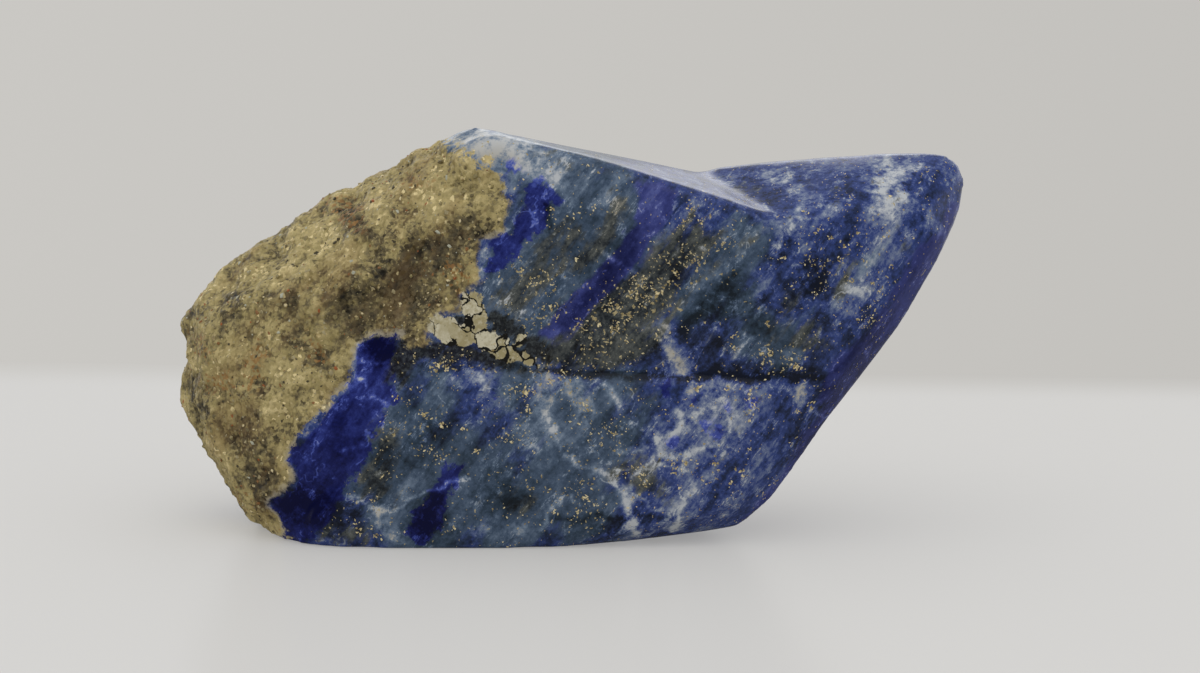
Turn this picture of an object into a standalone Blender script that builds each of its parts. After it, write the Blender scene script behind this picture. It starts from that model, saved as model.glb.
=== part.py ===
"""Lapis lazuli freeform: one natural stone, ground and polished on most sides, left raw at one end.

The stone stands on a small flat, with its polished front towards -Y and its raw end at -X.
It is roughed out as four overlapping blocks, the way the flats were ground: the body, the
horn, the foot below the ledge and the raw end. A voxel remesh makes them one skin, smoothing
wears the corners round, and the raw end then gets its lumps, dents and pits.
"""

import math

import bmesh
import bpy
from mathutils import Matrix, Vector, noise

NAME = "lapis_freeform"
MM = 0.001

# Driving dimensions, in millimetres
SKIN_VOXEL = 0.55
WEAR_PASSES = 26
LEDGE_WEAR_PASSES = 5
TRIANGLES = 9950
SAME_PLACE = 0.0001
SHARP_ANGLE = math.radians(50.0)

# The raw end begins at a sloping bed through the stone, which wanders a little
BED_FOOT_X = -37.5
BED_TOP_X = -12.0
BED_TOP_Z = 48.0
BED_FADE = 4.0
BED_WANDER = 1.5
BED_WANDER_SIZE = 6.0

# Layers of roughness on the raw end: size of a lump, height, and where its noise starts
ROUGHNESS = [
    (7.5, 0.55, (3.0, 0.0, 5.0)),
    (3.2, 0.42, (0.0, 7.0, 1.0)),
    (1.7, 0.22, (0.0, 0.0, 0.0)),
]

# The polished flats are ground by hand, so they wave a little
POLISH_WAVE = 16.0
POLISH_HEIGHT = 0.10

# Corners of the blocks, in millimetres: X to the horn, Y to the back, Z up from the table
BODY = [
    # front flat: it turns in above the ledge
    (-22.0, -17.6, 22.0),
    (30.6, -15.6, 20.5),
    (-18.0, -18.2, 26.0),
    (8.0, -18.4, 26.0),
    (27.6, -17.7, 25.0),
    # front edge of the top flat
    (-10.5, -11.6, 52.4),
    (0.1, -13.8, 50.5),
    (8.0, -15.0, 48.1),
    (14.4, -15.8, 46.3),
    (19.6, -16.4, 44.7),
    (26.8, -16.9, 42.3),
    # back edge of the top flat
    (-12.6, -5.6, 52.8),
    (-1.8, -3.6, 50.1),
    (5.0, -2.0, 48.2),
    (11.4, 0.6, 46.5),
    (20.0, 3.6, 44.8),
    # back
    (-16.0, 14.0, 45.0),
    (-2.0, 14.5, 41.5),
    (14.0, 12.5, 38.0),
    (-18.0, 20.6, 30.0),
    (-4.0, 19.8, 28.0),
    (10.0, 16.0, 26.0),
    (-18.0, 20.6, 14.0),
    (-2.0, 18.8, 12.0),
    (12.0, 13.2, 12.0),
    # inside the foot
    (-24.0, -14.0, 6.0),
    (18.0, -12.0, 6.0),
    (-20.0, 16.0, 3.0),
    (8.0, 8.0, 3.0),
]
HORN = [
    # front, turned a little to the right
    (25.6, -16.6, 42.0),
    (28.8, -17.7, 24.0),
    (34.0, -15.6, 39.6),
    (46.2, -10.8, 38.5),
    (33.2, -16.2, 21.0),
    (36.4, -15.2, 27.0),
    (30.0, -14.0, 19.0),
    # right edge, seen edge on
    (34.2, -9.0, 16.2),
    (37.2, -8.0, 19.9),
    (43.3, -6.0, 27.5),
    (47.7, -5.0, 35.2),
    (50.7, -3.4, 41.6),
    (51.6, -2.0, 45.6),
    (50.9, -1.0, 48.0),
    (48.8, 0.0, 49.1),
    (43.2, 1.0, 48.9),
    # crest, and the shoulder in front of it
    (35.0, 2.2, 48.0),
    (27.2, 3.4, 47.4),
    (17.6, 3.8, 46.4),
    (35.0, -14.0, 42.6),
    (45.4, -9.6, 43.0),
    (37.0, -10.6, 45.0),
    (46.4, -5.6, 46.9),
    (37.0, -5.0, 47.3),
    # back
    (14.0, 12.5, 38.0),
    (26.0, 9.0, 38.5),
    (38.0, 4.4, 38.0),
    (47.0, 0.6, 40.0),
    (10.0, 16.0, 26.0),
    (22.6, 11.2, 24.0),
    (35.4, 3.6, 26.0),
    (9.0, 16.3, 20.0),
    (11.4, 13.8, 12.0),
    (20.4, 9.6, 11.0),
    (30.6, -0.4, 13.6),
    (26.0, -10.0, 8.0),
    (12.0, -10.0, 20.0),
]
RAW_END = [
    # outline, seen from the front
    (-10.5, -11.2, 52.2),
    (-12.6, -5.0, 52.7),
    (-16.6, -3.0, 51.2),
    (-21.9, 0.0, 47.4),
    (-27.8, 1.0, 44.7),
    (-33.7, 1.0, 41.6),
    (-39.6, 1.0, 37.7),
    (-45.8, 1.0, 33.5),
    (-49.6, 1.0, 29.2),
    (-51.2, 1.0, 24.6),
    (-51.4, 1.0, 16.5),
    (-49.8, 0.0, 10.8),
    (-45.6, -1.0, 4.8),
    (-42.3, -3.0, 1.3),
    (-39.2, -7.0, -1.0),
    # front
    (-4.0, -14.6, 47.8),
    (-6.0, -16.4, 39.0),
    (-10.0, -17.9, 28.0),
    (-26.0, -15.0, 35.8),
    (-40.0, -12.2, 30.4),
    (-48.0, -8.4, 26.6),
    (-47.6, -9.6, 16.0),
    (-44.0, -11.6, 6.6),
    (-39.2, -16.0, 6.0),
    (-36.6, -16.0, 0.4),
    (-35.0, -18.7, 14.0),
    (-22.0, -18.9, 25.0),
    (-20.0, -19.3, 18.0),
    (-24.0, -19.9, 9.0),
    (-20.0, -18.9, -1.0),
    # back
    (-8.0, 14.3, 43.1),
    (-8.0, 20.1, 28.6),
    (-8.0, 19.5, 13.4),
    (-16.0, 14.0, 45.0),
    (-31.0, 13.6, 39.8),
    (-44.0, 11.0, 30.0),
    (-18.0, 20.6, 30.0),
    (-32.0, 18.8, 26.0),
    (-46.0, 11.6, 20.0),
    (-18.0, 20.6, 14.0),
    (-32.0, 18.2, 10.0),
    (-43.6, 11.6, 10.0),
    (-34.0, 13.0, -1.0),
    (-39.6, 5.0, -1.0),
]
FOOT = [
    # front flat, a little proud of the one above it
    (-19.0, -17.8, 23.9),
    (8.0, -17.8, 22.7),
    (28.4, -16.4, 22.0),
    (-19.0, -19.2, 22.4),
    (8.0, -19.3, 21.4),
    (26.0, -18.4, 20.8),
    (-33.6, -18.9, 4.0),
    (-26.0, -19.9, 9.0),
    (-20.0, -19.8, 14.0),
    (4.0, -19.8, 12.0),
    (22.6, -18.4, 12.0),
    # lower edge, rounded under towards the right
    (-4.0, -19.5, 4.6),
    (7.6, -19.3, 4.4),
    (16.4, -18.4, 4.3),
    (20.6, -17.2, 5.6),
    (9.0, -14.8, 0.5),
    (14.2, -12.8, 0.7),
    (17.4, -11.6, 0.9),
    # right edge
    (21.8, -10.6, 1.0),
    (25.9, -11.0, 4.7),
    (30.0, -10.0, 10.4),
    (34.0, -9.0, 16.2),
    (31.4, -14.6, 19.4),
    (28.0, -14.8, 12.0),
    # base
    (-38.4, -11.6, -1.0),
    (-35.0, -16.2, -1.0),
    (-28.0, -18.9, -1.0),
    (-17.0, -19.4, -1.0),
    (-7.0, -18.8, -1.0),
    (3.0, -16.2, -0.2),
    (8.0, -12.0, -0.4),
    (9.0, 2.0, -0.6),
    (-8.0, 13.0, -1.0),
    (-32.0, 12.5, -1.0),
    # back
    (31.0, -2.0, 17.0),
    (21.6, 7.0, 16.0),
    (20.0, 2.0, 7.0),
    (16.0, 8.0, 10.0),
    (4.0, 14.6, 10.0),
    (-20.0, 19.6, 10.0),
    (-32.0, 17.0, 10.0),
]

# Single dents and bumps: centre, reach, and height outward, all in millimetres
FEATURES = [
    # hollow under the bright shoulder of the raw end
    ((-18.4, -17.4, 34.2), 6.0, -1.1),
    ((-24.5, -17.0, 30.0), 6.0, -1.0),
    ((-29.0, -17.0, 26.5), 5.0, -0.5),
    # outline of the raw end, from the peak down to the base
    ((-24.5, 0.0, 46.0), 6.5, -0.7),
    ((-31.5, 1.0, 43.0), 5.0, 0.2),
    ((-40.5, 1.0, 37.6), 4.0, -0.4),
    ((-50.4, 1.0, 21.6), 3.4, -1.3),
    ((-51.0, -1.0, 26.0), 3.0, 0.25),
    ((-51.3, 0.5, 16.4), 3.4, 0.5),
    # pits between the grains
    ((-25.9, -14.6, 37.6), 2.0, -0.9),
    ((-37.0, -13.4, 30.6), 2.4, -0.6),
    ((-33.8, -14.2, 29.0), 2.4, -0.7),
    ((-29.0, -13.4, 36.4), 1.9, -0.5),
    ((-44.6, -9.8, 24.0), 2.0, -0.5),
    ((-39.0, -14.6, 19.0), 1.8, -0.4),
    ((-43.0, -13.0, 12.0), 2.0, -0.5),
]


def clear_scene():
    for old in list(bpy.data.objects):
        bpy.data.objects.remove(old)


def add_stone():
    """An empty mesh object in its own collection."""
    stone = bpy.data.objects.new(NAME, bpy.data.meshes.new(NAME))
    collection = bpy.data.collections.new(NAME)
    bpy.context.scene.collection.children.link(collection)
    collection.objects.link(stone)
    return stone


def add_block(stone, corners):
    """Adds the convex block around these corners to the stone's mesh."""
    bm = bmesh.new()
    points = [bm.verts.new(Vector(corner) * MM) for corner in corners]
    hull = bmesh.ops.convex_hull(bm, input=points)
    inner = [v for v in hull["geom_interior"] if isinstance(v, bmesh.types.BMVert)]
    bmesh.ops.delete(bm, geom=inner, context="VERTS")
    bmesh.ops.recalc_face_normals(bm, faces=bm.faces)
    bm.from_mesh(stone.data)
    bm.to_mesh(stone.data)
    bm.free()


def apply_modifiers(stone):
    """Replaces the mesh by what its modifiers make of it."""
    bpy.context.view_layer.update()
    graph = bpy.context.evaluated_depsgraph_get()
    mesh = bpy.data.meshes.new_from_object(stone.evaluated_get(graph))
    stone.modifiers.clear()
    stone.data = mesh


def skin_and_wear(stone, passes):
    """One closed skin over all the blocks, with its corners worn round."""
    skin = stone.modifiers.new("skin", "REMESH")
    skin.mode = "VOXEL"
    skin.voxel_size = SKIN_VOXEL * MM
    wear = stone.modifiers.new("wear", "SMOOTH")
    wear.iterations = passes
    apply_modifiers(stone)


def rawness(point):
    """0 on the polished stone, 1 on the raw end, for a point in millimetres."""
    slope = (BED_TOP_X - BED_FOOT_X) / BED_TOP_Z
    wander = BED_WANDER * noise.noise(point / BED_WANDER_SIZE)
    bed_x = BED_FOOT_X + slope * point.z + wander
    share = (bed_x - point.x) / BED_FADE + 0.5
    share = min(max(share, 0.0), 1.0)
    return share * share * (3.0 - 2.0 * share)


def height_at(point):
    """How far the skin stands out at a point, in millimetres."""
    raw = rawness(point)
    height = POLISH_HEIGHT * (1.0 - raw) * noise.noise(point / POLISH_WAVE)
    for size, rise, start in ROUGHNESS:
        height += raw * rise * noise.noise(point / size + Vector(start))
    for centre, reach, rise in FEATURES:
        near = (point - Vector(centre)).length / reach
        if near < 1.0:
            height += rise * (1.0 - near * near) ** 2
    return height


def roughen(stone):
    """Moves each point of the skin along its normal by the height there."""
    mesh = stone.data
    moved = [v.co + v.normal * height_at(v.co / MM) * MM for v in mesh.vertices]
    for vertex, place in zip(mesh.vertices, moved):
        vertex.co = place
    mesh.update()


def reduce_faces(stone):
    facets = stone.modifiers.new("facets", "DECIMATE")
    facets.ratio = TRIANGLES / (2 * len(stone.data.polygons))
    apply_modifiers(stone)


def cut_base(stone):
    """Cuts the base flat at the table and closes it."""
    bm = bmesh.new()
    bm.from_mesh(stone.data)
    everything = list(bm.verts) + list(bm.edges) + list(bm.faces)
    cut = bmesh.ops.bisect_plane(
        bm,
        geom=everything,
        dist=SAME_PLACE * MM,
        plane_co=(0.0, 0.0, 0.0),
        plane_no=(0.0, 0.0, 1.0),
        clear_inner=True,
    )
    rim = [e for e in cut["geom_cut"] if isinstance(e, bmesh.types.BMEdge)]
    base = bmesh.ops.contextual_create(bm, geom=rim)
    bmesh.ops.triangulate(bm, faces=base["faces"])
    bmesh.ops.recalc_face_normals(bm, faces=bm.faces)
    bm.to_mesh(stone.data)
    bm.free()


def centre_on_origin(stone):
    """Puts the middle of the outline over the origin, and leaves the height as it is."""
    places = [vertex.co for vertex in stone.data.vertices]
    middle_x = (min(p.x for p in places) + max(p.x for p in places)) / 2.0
    middle_y = (min(p.y for p in places) + max(p.y for p in places)) / 2.0
    stone.data.transform(Matrix.Translation((-middle_x, -middle_y, 0.0)))


def shade(stone):
    """Smooth all over, with a crisp edge round the base."""
    stone.data.shade_smooth()
    stone.data.set_sharp_from_angle(angle=SHARP_ANGLE)


def add_material(stone):
    """Polished blue stone."""
    material = bpy.data.materials.new("lapis_lazuli")
    material.use_nodes = True
    shader = material.node_tree.nodes["Principled BSDF"]
    shader.inputs["Base Color"].default_value = (0.055, 0.085, 0.21, 1.0)
    shader.inputs["Roughness"].default_value = 0.3
    shader.inputs["Metallic"].default_value = 0.0
    stone.data.materials.clear()
    stone.data.materials.append(material)


def main():
    clear_scene()
    stone = add_stone()
    for corners in (BODY, HORN, RAW_END):
        add_block(stone, corners)
    skin_and_wear(stone, WEAR_PASSES)
    add_block(stone, FOOT)
    skin_and_wear(stone, LEDGE_WEAR_PASSES)
    roughen(stone)
    reduce_faces(stone)
    cut_base(stone)
    centre_on_origin(stone)
    shade(stone)
    add_material(stone)


main()
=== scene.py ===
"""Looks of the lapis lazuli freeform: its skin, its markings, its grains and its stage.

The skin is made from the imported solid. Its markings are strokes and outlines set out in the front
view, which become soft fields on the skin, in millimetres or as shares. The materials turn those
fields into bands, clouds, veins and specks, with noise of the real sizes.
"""

import math
import random

import bpy
import numpy as np
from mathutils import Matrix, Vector, noise
from mathutils.bvhtree import BVHTree


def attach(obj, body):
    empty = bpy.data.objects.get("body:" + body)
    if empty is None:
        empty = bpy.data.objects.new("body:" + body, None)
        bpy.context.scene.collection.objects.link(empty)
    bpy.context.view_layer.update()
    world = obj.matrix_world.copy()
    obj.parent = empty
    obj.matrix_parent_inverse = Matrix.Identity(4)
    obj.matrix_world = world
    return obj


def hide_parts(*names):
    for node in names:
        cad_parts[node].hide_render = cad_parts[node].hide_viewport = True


bl_info = {
    "name": "Lapis lazuli freeform",
    "version": (1, 0, 0),
    "blender": (4, 5, 0),
    "location": "3D View > Sidebar > Lapis",
    "description": "Gives the packed lapis lazuli freeform its skin, markings, grains and stage",
    "category": "Object",
}

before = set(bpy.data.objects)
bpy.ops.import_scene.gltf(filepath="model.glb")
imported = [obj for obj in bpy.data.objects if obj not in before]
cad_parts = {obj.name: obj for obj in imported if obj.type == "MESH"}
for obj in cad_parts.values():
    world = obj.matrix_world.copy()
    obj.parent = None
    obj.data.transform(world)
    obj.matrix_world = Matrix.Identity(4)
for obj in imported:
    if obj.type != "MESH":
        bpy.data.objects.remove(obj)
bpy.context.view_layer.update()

NODE = "lapis_freeform"
BODY = "root"
MM = 0.001

# The front view: a frame of 1200 x 673, in which the markings are set out
FRAME_WIDTH = 1200.0
FRAME_HEIGHT = 673.0
PIXEL_MM = 0.128
VIEW_DISTANCE = 650.0
VIEW_ELEVATION = math.radians(10.0)
AIM = np.array([3.924, -15.318, 26.9])

VIEW_FORWARD = np.array([0.0, math.cos(VIEW_ELEVATION), -math.sin(VIEW_ELEVATION)])
VIEW_UP = np.array([0.0, math.sin(VIEW_ELEVATION), math.cos(VIEW_ELEVATION)])
VIEW_POINT = AIM - VIEW_DISTANCE * VIEW_FORWARD
VIEW_FOCAL = VIEW_DISTANCE / PIXEL_MM
SENSOR = 36.0

# Welding distance of the solid's points, in metres, and rounds of smoothing on the finer front
WELD = 0.00001
FRONT_WEAR = 2

# The bed that parts raw matrix from polished stone, as the solid has it, in millimetres
BED_FOOT_X = -37.1
BED_SLOPE = 0.531

# Markings continue round the back, moved and warped so that they aren't a mirror of the front
BACK_SHIFT = (74.0, -28.0)
BACK_WARP = 46.0
BACK_WARP_SIZE = 15.0

# Where a surface begins and ends to turn away from the front view, and which faces are made finer
TURNS_AWAY = (0.02, -0.4)
FRONT_SHARE = 0.6

# How markings waver: size in millimetres and reach in pixels
WAVER = [(4.0, 5.5), (1.5, 4.0)]
WAVER_SEED = 2

# Outlines in the front view
MATRIX_OUTLINE = [
    (100, 100), (436, 100), (438, 137), (462, 150), (490, 165), (498, 178), (511, 205), (503, 228),
    (482, 244), (479, 262), (480, 284), (466, 294), (460, 312), (442, 318), (430, 328), (428, 342),
    (414, 348), (398, 340), (374, 335),
    (360, 345), (354, 362), (352, 380), (334, 404), (314, 424), (299, 442), (291, 458), (294, 474),
    (287, 490), (271, 500), (280, 520), (296, 538), (300, 620), (100, 620),
]
ROYAL_OUTLINES = [
    # the broad band across the foot
    [
        (376, 334), (364, 345), (357, 366), (350, 389), (338, 403), (322, 417), (308, 431),
        (297, 445), (291, 460), (296, 474), (290, 490), (274, 499), (272, 505), (282, 521),
        (290, 545), (306, 545), (319, 527), (333, 518), (344, 499), (358, 474), (369, 451),
        (378, 429), (386, 412), (394, 400), (394, 367), (398, 353), (398, 337),
    ],
    # the smaller lens beside it
    [
        (466, 463), (442, 468), (432, 480), (422, 499), (411, 513), (407, 528), (409, 538),
        (424, 538), (434, 532), (443, 518), (451, 499), (457, 482), (465, 468),
    ],
    # the spot and the lens below the peak
    [(503, 166), (508, 159), (517, 160), (521, 168), (530, 174), (522, 176), (504, 176)],
    [
        (534, 181), (543, 177), (548, 183), (559, 194), (561, 200), (552, 205), (547, 209),
        (547, 224), (541, 235), (530, 244), (517, 257), (504, 268), (493, 274), (487, 270),
        (491, 261), (498, 255), (493, 250), (487, 246), (491, 238), (500, 238), (508, 233),
        (513, 222), (519, 212), (521, 205), (530, 194), (519, 188), (522, 185),
    ],
    # small deep spots in the white network
    [(661, 386), (668, 383), (674, 389), (670, 396), (662, 394)],
    [(668, 440), (676, 435), (684, 440), (680, 450), (671, 450)],
    [(710, 430), (718, 426), (724, 432), (716, 438)],
    [(724, 410), (733, 407), (738, 414), (729, 417)],
    [(494, 380), (500, 372), (503, 380), (497, 392)],
    [(699, 425), (708, 419), (713, 428), (704, 436)],
    [(743, 399), (752, 392), (758, 401), (748, 408)],
    [(688, 397), (697, 391), (703, 398), (695, 406)],
]
INDIGO_OUTLINES = [
    # the long band down the middle of the front
    [
        (635, 178), (676, 188), (678, 203), (669, 220), (654, 238), (639, 262), (630, 272),
        (615, 287), (596, 305), (578, 322), (563, 333), (548, 340), (538, 336), (549, 327),
        (563, 312), (573, 297), (587, 283), (602, 268), (611, 253), (622, 238), (632, 223),
        (636, 209), (639, 198),
    ],
    # the ground face along the right edge
    [
        (990, 150), (950, 212), (941, 235), (920, 244), (909, 261), (898, 283), (889, 305),
        (870, 327), (853, 348), (836, 361), (824, 380), (822, 402), (816, 420), (800, 444),
        (790, 462), (776, 484), (757, 505), (741, 520), (731, 545), (800, 560), (1000, 400),
        (1010, 240),
    ],
]
CREAM_OUTLINES = [
    [
        (460, 294), (472, 292), (482, 301), (489, 318), (484, 325), (491, 333), (500, 336),
        (510, 334), (512, 344), (526, 338), (528, 342), (517, 349), (537, 358), (538, 364),
        (522, 362), (510, 364), (491, 360), (488, 355), (473, 343), (461, 349), (448, 346),
        (436, 336), (428, 329), (430, 321), (440, 316), (457, 321), (467, 325), (466, 312),
    ],
]

# Soft strokes in the front view: reach in pixels, strength, and the points it runs through
SLATE = [
    (26, 1.0, [(440, 132), (500, 150), (545, 168)]),
    (60, 1.0, [(560, 200), (545, 260), (520, 310)]),
    (45, 0.9, [(600, 190), (610, 240)]),
    (50, 1.0, [(400, 430), (400, 500), (430, 530)]),
    (46, 1.0, [(466, 474), (500, 510)]),
    (24, 0.8, [(440, 384), (430, 402)]),
    (22, 0.7, [(524, 384), (528, 420)]),
    (42, 1.0, [(560, 425), (600, 430)]),
    (42, 0.8, [(560, 500), (590, 520)]),
    (28, 0.9, [(742, 243), (715, 275), (695, 300)]),
    (26, 0.5, [(640, 400), (620, 380)]),
    (24, 0.6, [(745, 350), (790, 350)]),
    (22, 0.6, [(738, 306), (772, 334)]),
    (30, 0.4, [(860, 260), (840, 300)]),
]
OLIVE = [
    (12, 0.5, [(852, 262), (838, 292)]),
    (9, 0.5, [(900, 232), (910, 250)]),
    (9, 0.45, [(812, 180), (838, 192)]),
    (10, 0.5, [(742, 186), (760, 196)]),
    (12, 0.5, [(800, 340), (822, 350)]),
    (20, 0.8, [(512, 300), (545, 262), (572, 232)]),
    (13, 0.8, [(583, 264), (600, 240), (622, 206)]),
    (34, 1.0, [(578, 338), (615, 316), (655, 288), (690, 250)]),
    (22, 0.8, [(560, 352), (610, 352), (650, 345)]),
    (22, 0.8, [(388, 446), (376, 480)]),
    (18, 0.7, [(512, 503), (530, 500)]),
    (14, 0.6, [(792, 298)]),
    (14, 0.6, [(824, 322), (812, 330)]),
    (18, 0.5, [(760, 322), (790, 338)]),
    (16, 0.7, [(640, 482), (662, 490)]),
    (12, 0.6, [(772, 406)]),
    (14, 0.5, [(612, 470), (640, 462)]),
    (16, 0.6, [(330, 530), (360, 536)]),
    (14, 0.5, [(706, 338), (740, 352)]),
    (12, 0.6, [(533, 150), (576, 172)]),
    (12, 0.5, [(660, 400), (640, 392)]),
    (14, 0.4, [(732, 252), (750, 240)]),
]
# Dark rock, and painted shade where strokes run along the ledge and the lower bevel
DEEP_AND_PAINTED_SHADE = [
    (18, 0.3, [(884, 330), (842, 380), (800, 442)]),
    # painted shade under the lower bevel and along the ledge's crease
    (9, 0.5, [(570, 529), (616, 530)]),
    (6, 0.5, [(560, 374), (605, 376)]),
    (8, 0.4, [(640, 367), (655, 365), (672, 366)]),
    (9, 0.6, [(700, 370), (760, 371), (812, 373)]),
    (20, 0.9, [(288, 500), (330, 510)]),
    (12, 0.6, [(378, 342), (388, 352)]),
    (15, 1.0, [(434, 504), (424, 530)]),
    (4, 0.9, [(546, 206), (549, 220), (551, 229)]),
    (13, 0.7, [(820, 283)]),
    (11, 0.7, [(824, 323)]),
    (9, 0.6, [(788, 240), (783, 252)]),
    (16, 0.4, [(600, 292), (570, 318)]),
    (11, 0.6, [(770, 262)]),
    (11, 0.5, [(683, 331), (735, 300)]),
    (14, 0.5, [(792, 296), (812, 262)]),
    (8, 0.5, [(700, 352), (724, 346)]),
    (18, 0.35, [(384, 446), (368, 488)]),
    (14, 0.9, [(378, 340), (386, 356)]),
    (14, 0.4, [(630, 240), (606, 276)]),
    (11, 0.6, [(655, 348), (700, 312), (735, 272)]),
    (9, 0.5, [(700, 344), (760, 296)]),
    (16, 0.5, [(436, 432), (420, 462)]),
    (12, 0.5, [(486, 500), (504, 486)]),
    (12, 0.6, [(512, 500), (530, 500)]),
    (12, 0.6, [(352, 520)]),
    (14, 0.25, [(626, 430), (646, 434)]),
    (22, 0.35, [(742, 310), (770, 334)]),
]
# Painted shade: thin dark lines in the ledge's crease and along the lower bevel
LEDGE_PAINTED_SHADE = [
    (4.0, 0.9, [(545, 371), (580, 374), (620, 377), (660, 376), (700, 376), (760, 378), (820, 379)]),
    (4.0, 0.6, [(424, 366), (470, 367), (520, 369)]),
    (3.5, 0.7, [(556, 519), (600, 518), (640, 519), (674, 517)]),
]
MILK = [
    (20, 0.6, [(356, 376), (376, 404)]),
    (26, 0.8, [(484, 146), (540, 164)]),
    (26, 0.5, [(676, 440), (704, 425), (735, 412)]),
    (20, 0.5, [(640, 500), (680, 500)]),
    (22, 0.5, [(650, 198), (664, 212)]),
    (24, 0.35, [(590, 184), (606, 206)]),
    (44, 0.3, [(742, 472), (706, 500)]),
    (9, 0.7, [(722, 330), (770, 288)]),
    (12, 0.6, [(446, 380), (432, 396)]),
    (12, 0.4, [(896, 168), (898, 198)]),
    (15, 0.4, [(742, 243)]),
    (12, 0.7, [(722, 266), (700, 292)]),
    (7, 0.6, [(706, 250), (697, 266)]),
    (12, 0.6, [(556, 430), (585, 425)]),
    (13, 0.8, [(482, 380)]),
    (20, 0.8, [(884, 246), (862, 276)]),
    (11, 0.8, [(832, 303), (846, 311)]),
    (9, 0.7, [(857, 290)]),
    (11, 0.7, [(768, 275), (762, 287)]),
    (9, 0.7, [(792, 352)]),
    (11, 0.6, [(733, 355)]),
    (12, 0.6, [(835, 212)]),
    (14, 0.8, [(882, 208), (895, 218)]),
    (9, 0.6, [(640, 460)]),
    (9, 0.7, [(600, 194), (612, 180)]),
    (10, 0.7, [(548, 180), (580, 186)]),
    (9, 0.5, [(520, 428), (540, 440)]),
    (10, 0.6, [(420, 470), (402, 490)]),
    (6, 0.6, [(714, 335), (696, 348)]),
    (7, 0.6, [(510, 295), (500, 306)]),
    (9, 0.5, [(560, 335)]),
]
CALCITE = [
    (14, 0.8, [(900, 172), (896, 198)]),
    (9, 0.9, [(449, 141), (470, 136), (490, 143)]),
    (19, 1.0, [(484, 146), (524, 158)]),
    (14, 0.9, [(520, 158), (552, 170)]),
    (9, 0.7, [(500, 172), (494, 186)]),
    (9, 0.9, [(536, 165), (553, 174)]),
    (6, 0.9, [(482, 242), (485, 257), (480, 276)]),
    (5, 0.7, [(514, 190), (510, 208)]),
    (8, 0.8, [(661, 329), (668, 350), (680, 366), (692, 374)]),
    (7, 0.8, [(690, 388), (704, 385), (730, 388)]),
    (9, 0.9, [(799, 391), (806, 400)]),
    (12, 1.0, [(889, 164), (900, 183), (894, 196), (878, 192)]),
    (20, 0.35, [(888, 160), (892, 205)]),
    (6, 0.7, [(790, 182), (803, 200), (801, 215), (788, 228)]),
    (8, 0.5, [(788, 228), (781, 246)]),
    (7, 0.6, [(911, 205), (928, 216), (942, 233)]),
    (6, 0.9, [(881, 207), (874, 216)]),
    (6, 0.8, [(768, 177), (790, 186)]),
    (7, 0.8, [(547, 364), (547, 398)]),
    (8, 0.8, [(572, 384), (588, 412)]),
    (7, 0.5, [(660, 442), (682, 427), (686, 416)]),
    (7, 0.5, [(697, 416), (714, 411), (733, 418)]),
    (8, 0.6, [(706, 424), (712, 430)]),
    (7, 0.45, [(664, 457), (690, 452), (712, 444)]),
    (5, 0.8, [(604, 388), (618, 408)]),
    (9, 0.8, [(482, 377)]),
    (9, 0.5, [(382, 520), (394, 538)]),
    (8, 0.6, [(518, 530)]),
    (9, 0.9, [(546, 366), (545, 398), (548, 430)]),
    (6, 0.8, [(556, 376), (574, 392), (588, 416)]),
    (9, 0.5, [(696, 404), (716, 400), (736, 412)]),
    (9, 0.4, [(648, 446), (672, 434), (688, 420)]),
    (6, 0.7, [(624, 486), (630, 530)]),
    (6, 0.7, [(494, 517), (478, 536)]),
    (6, 0.8, [(633, 528)]),
    (7, 0.8, [(675, 526)]),
    (5, 0.7, [(604, 530)]),
    (6, 0.7, [(856, 290)]),
    (6, 0.7, [(692, 206)]),
    (5, 0.7, [(346, 388), (332, 401), (316, 418), (304, 434)]),
    (4, 0.7, [(370, 333), (358, 346), (354, 362)]),
]
WARM = [
    (9, 1.0, [(626, 198), (611, 229), (596, 250), (583, 265)]),
    (12, 0.9, [(346, 388), (316, 418), (300, 438)]),
    (14, 0.9, [(547, 362), (548, 400)]),
    (16, 0.9, [(572, 384), (588, 410)]),
    (16, 0.8, [(660, 334), (690, 372)]),
    (22, 0.8, [(450, 150), (500, 170)]),
    (14, 0.8, [(382, 520), (394, 540)]),
    (14, 0.8, [(800, 394), (815, 412)]),
    (16, 0.7, [(604, 530), (480, 536)]),
    (12, 0.6, [(692, 206), (706, 222)]),
    (12, 0.7, [(690, 386), (728, 388)]),
]
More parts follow.
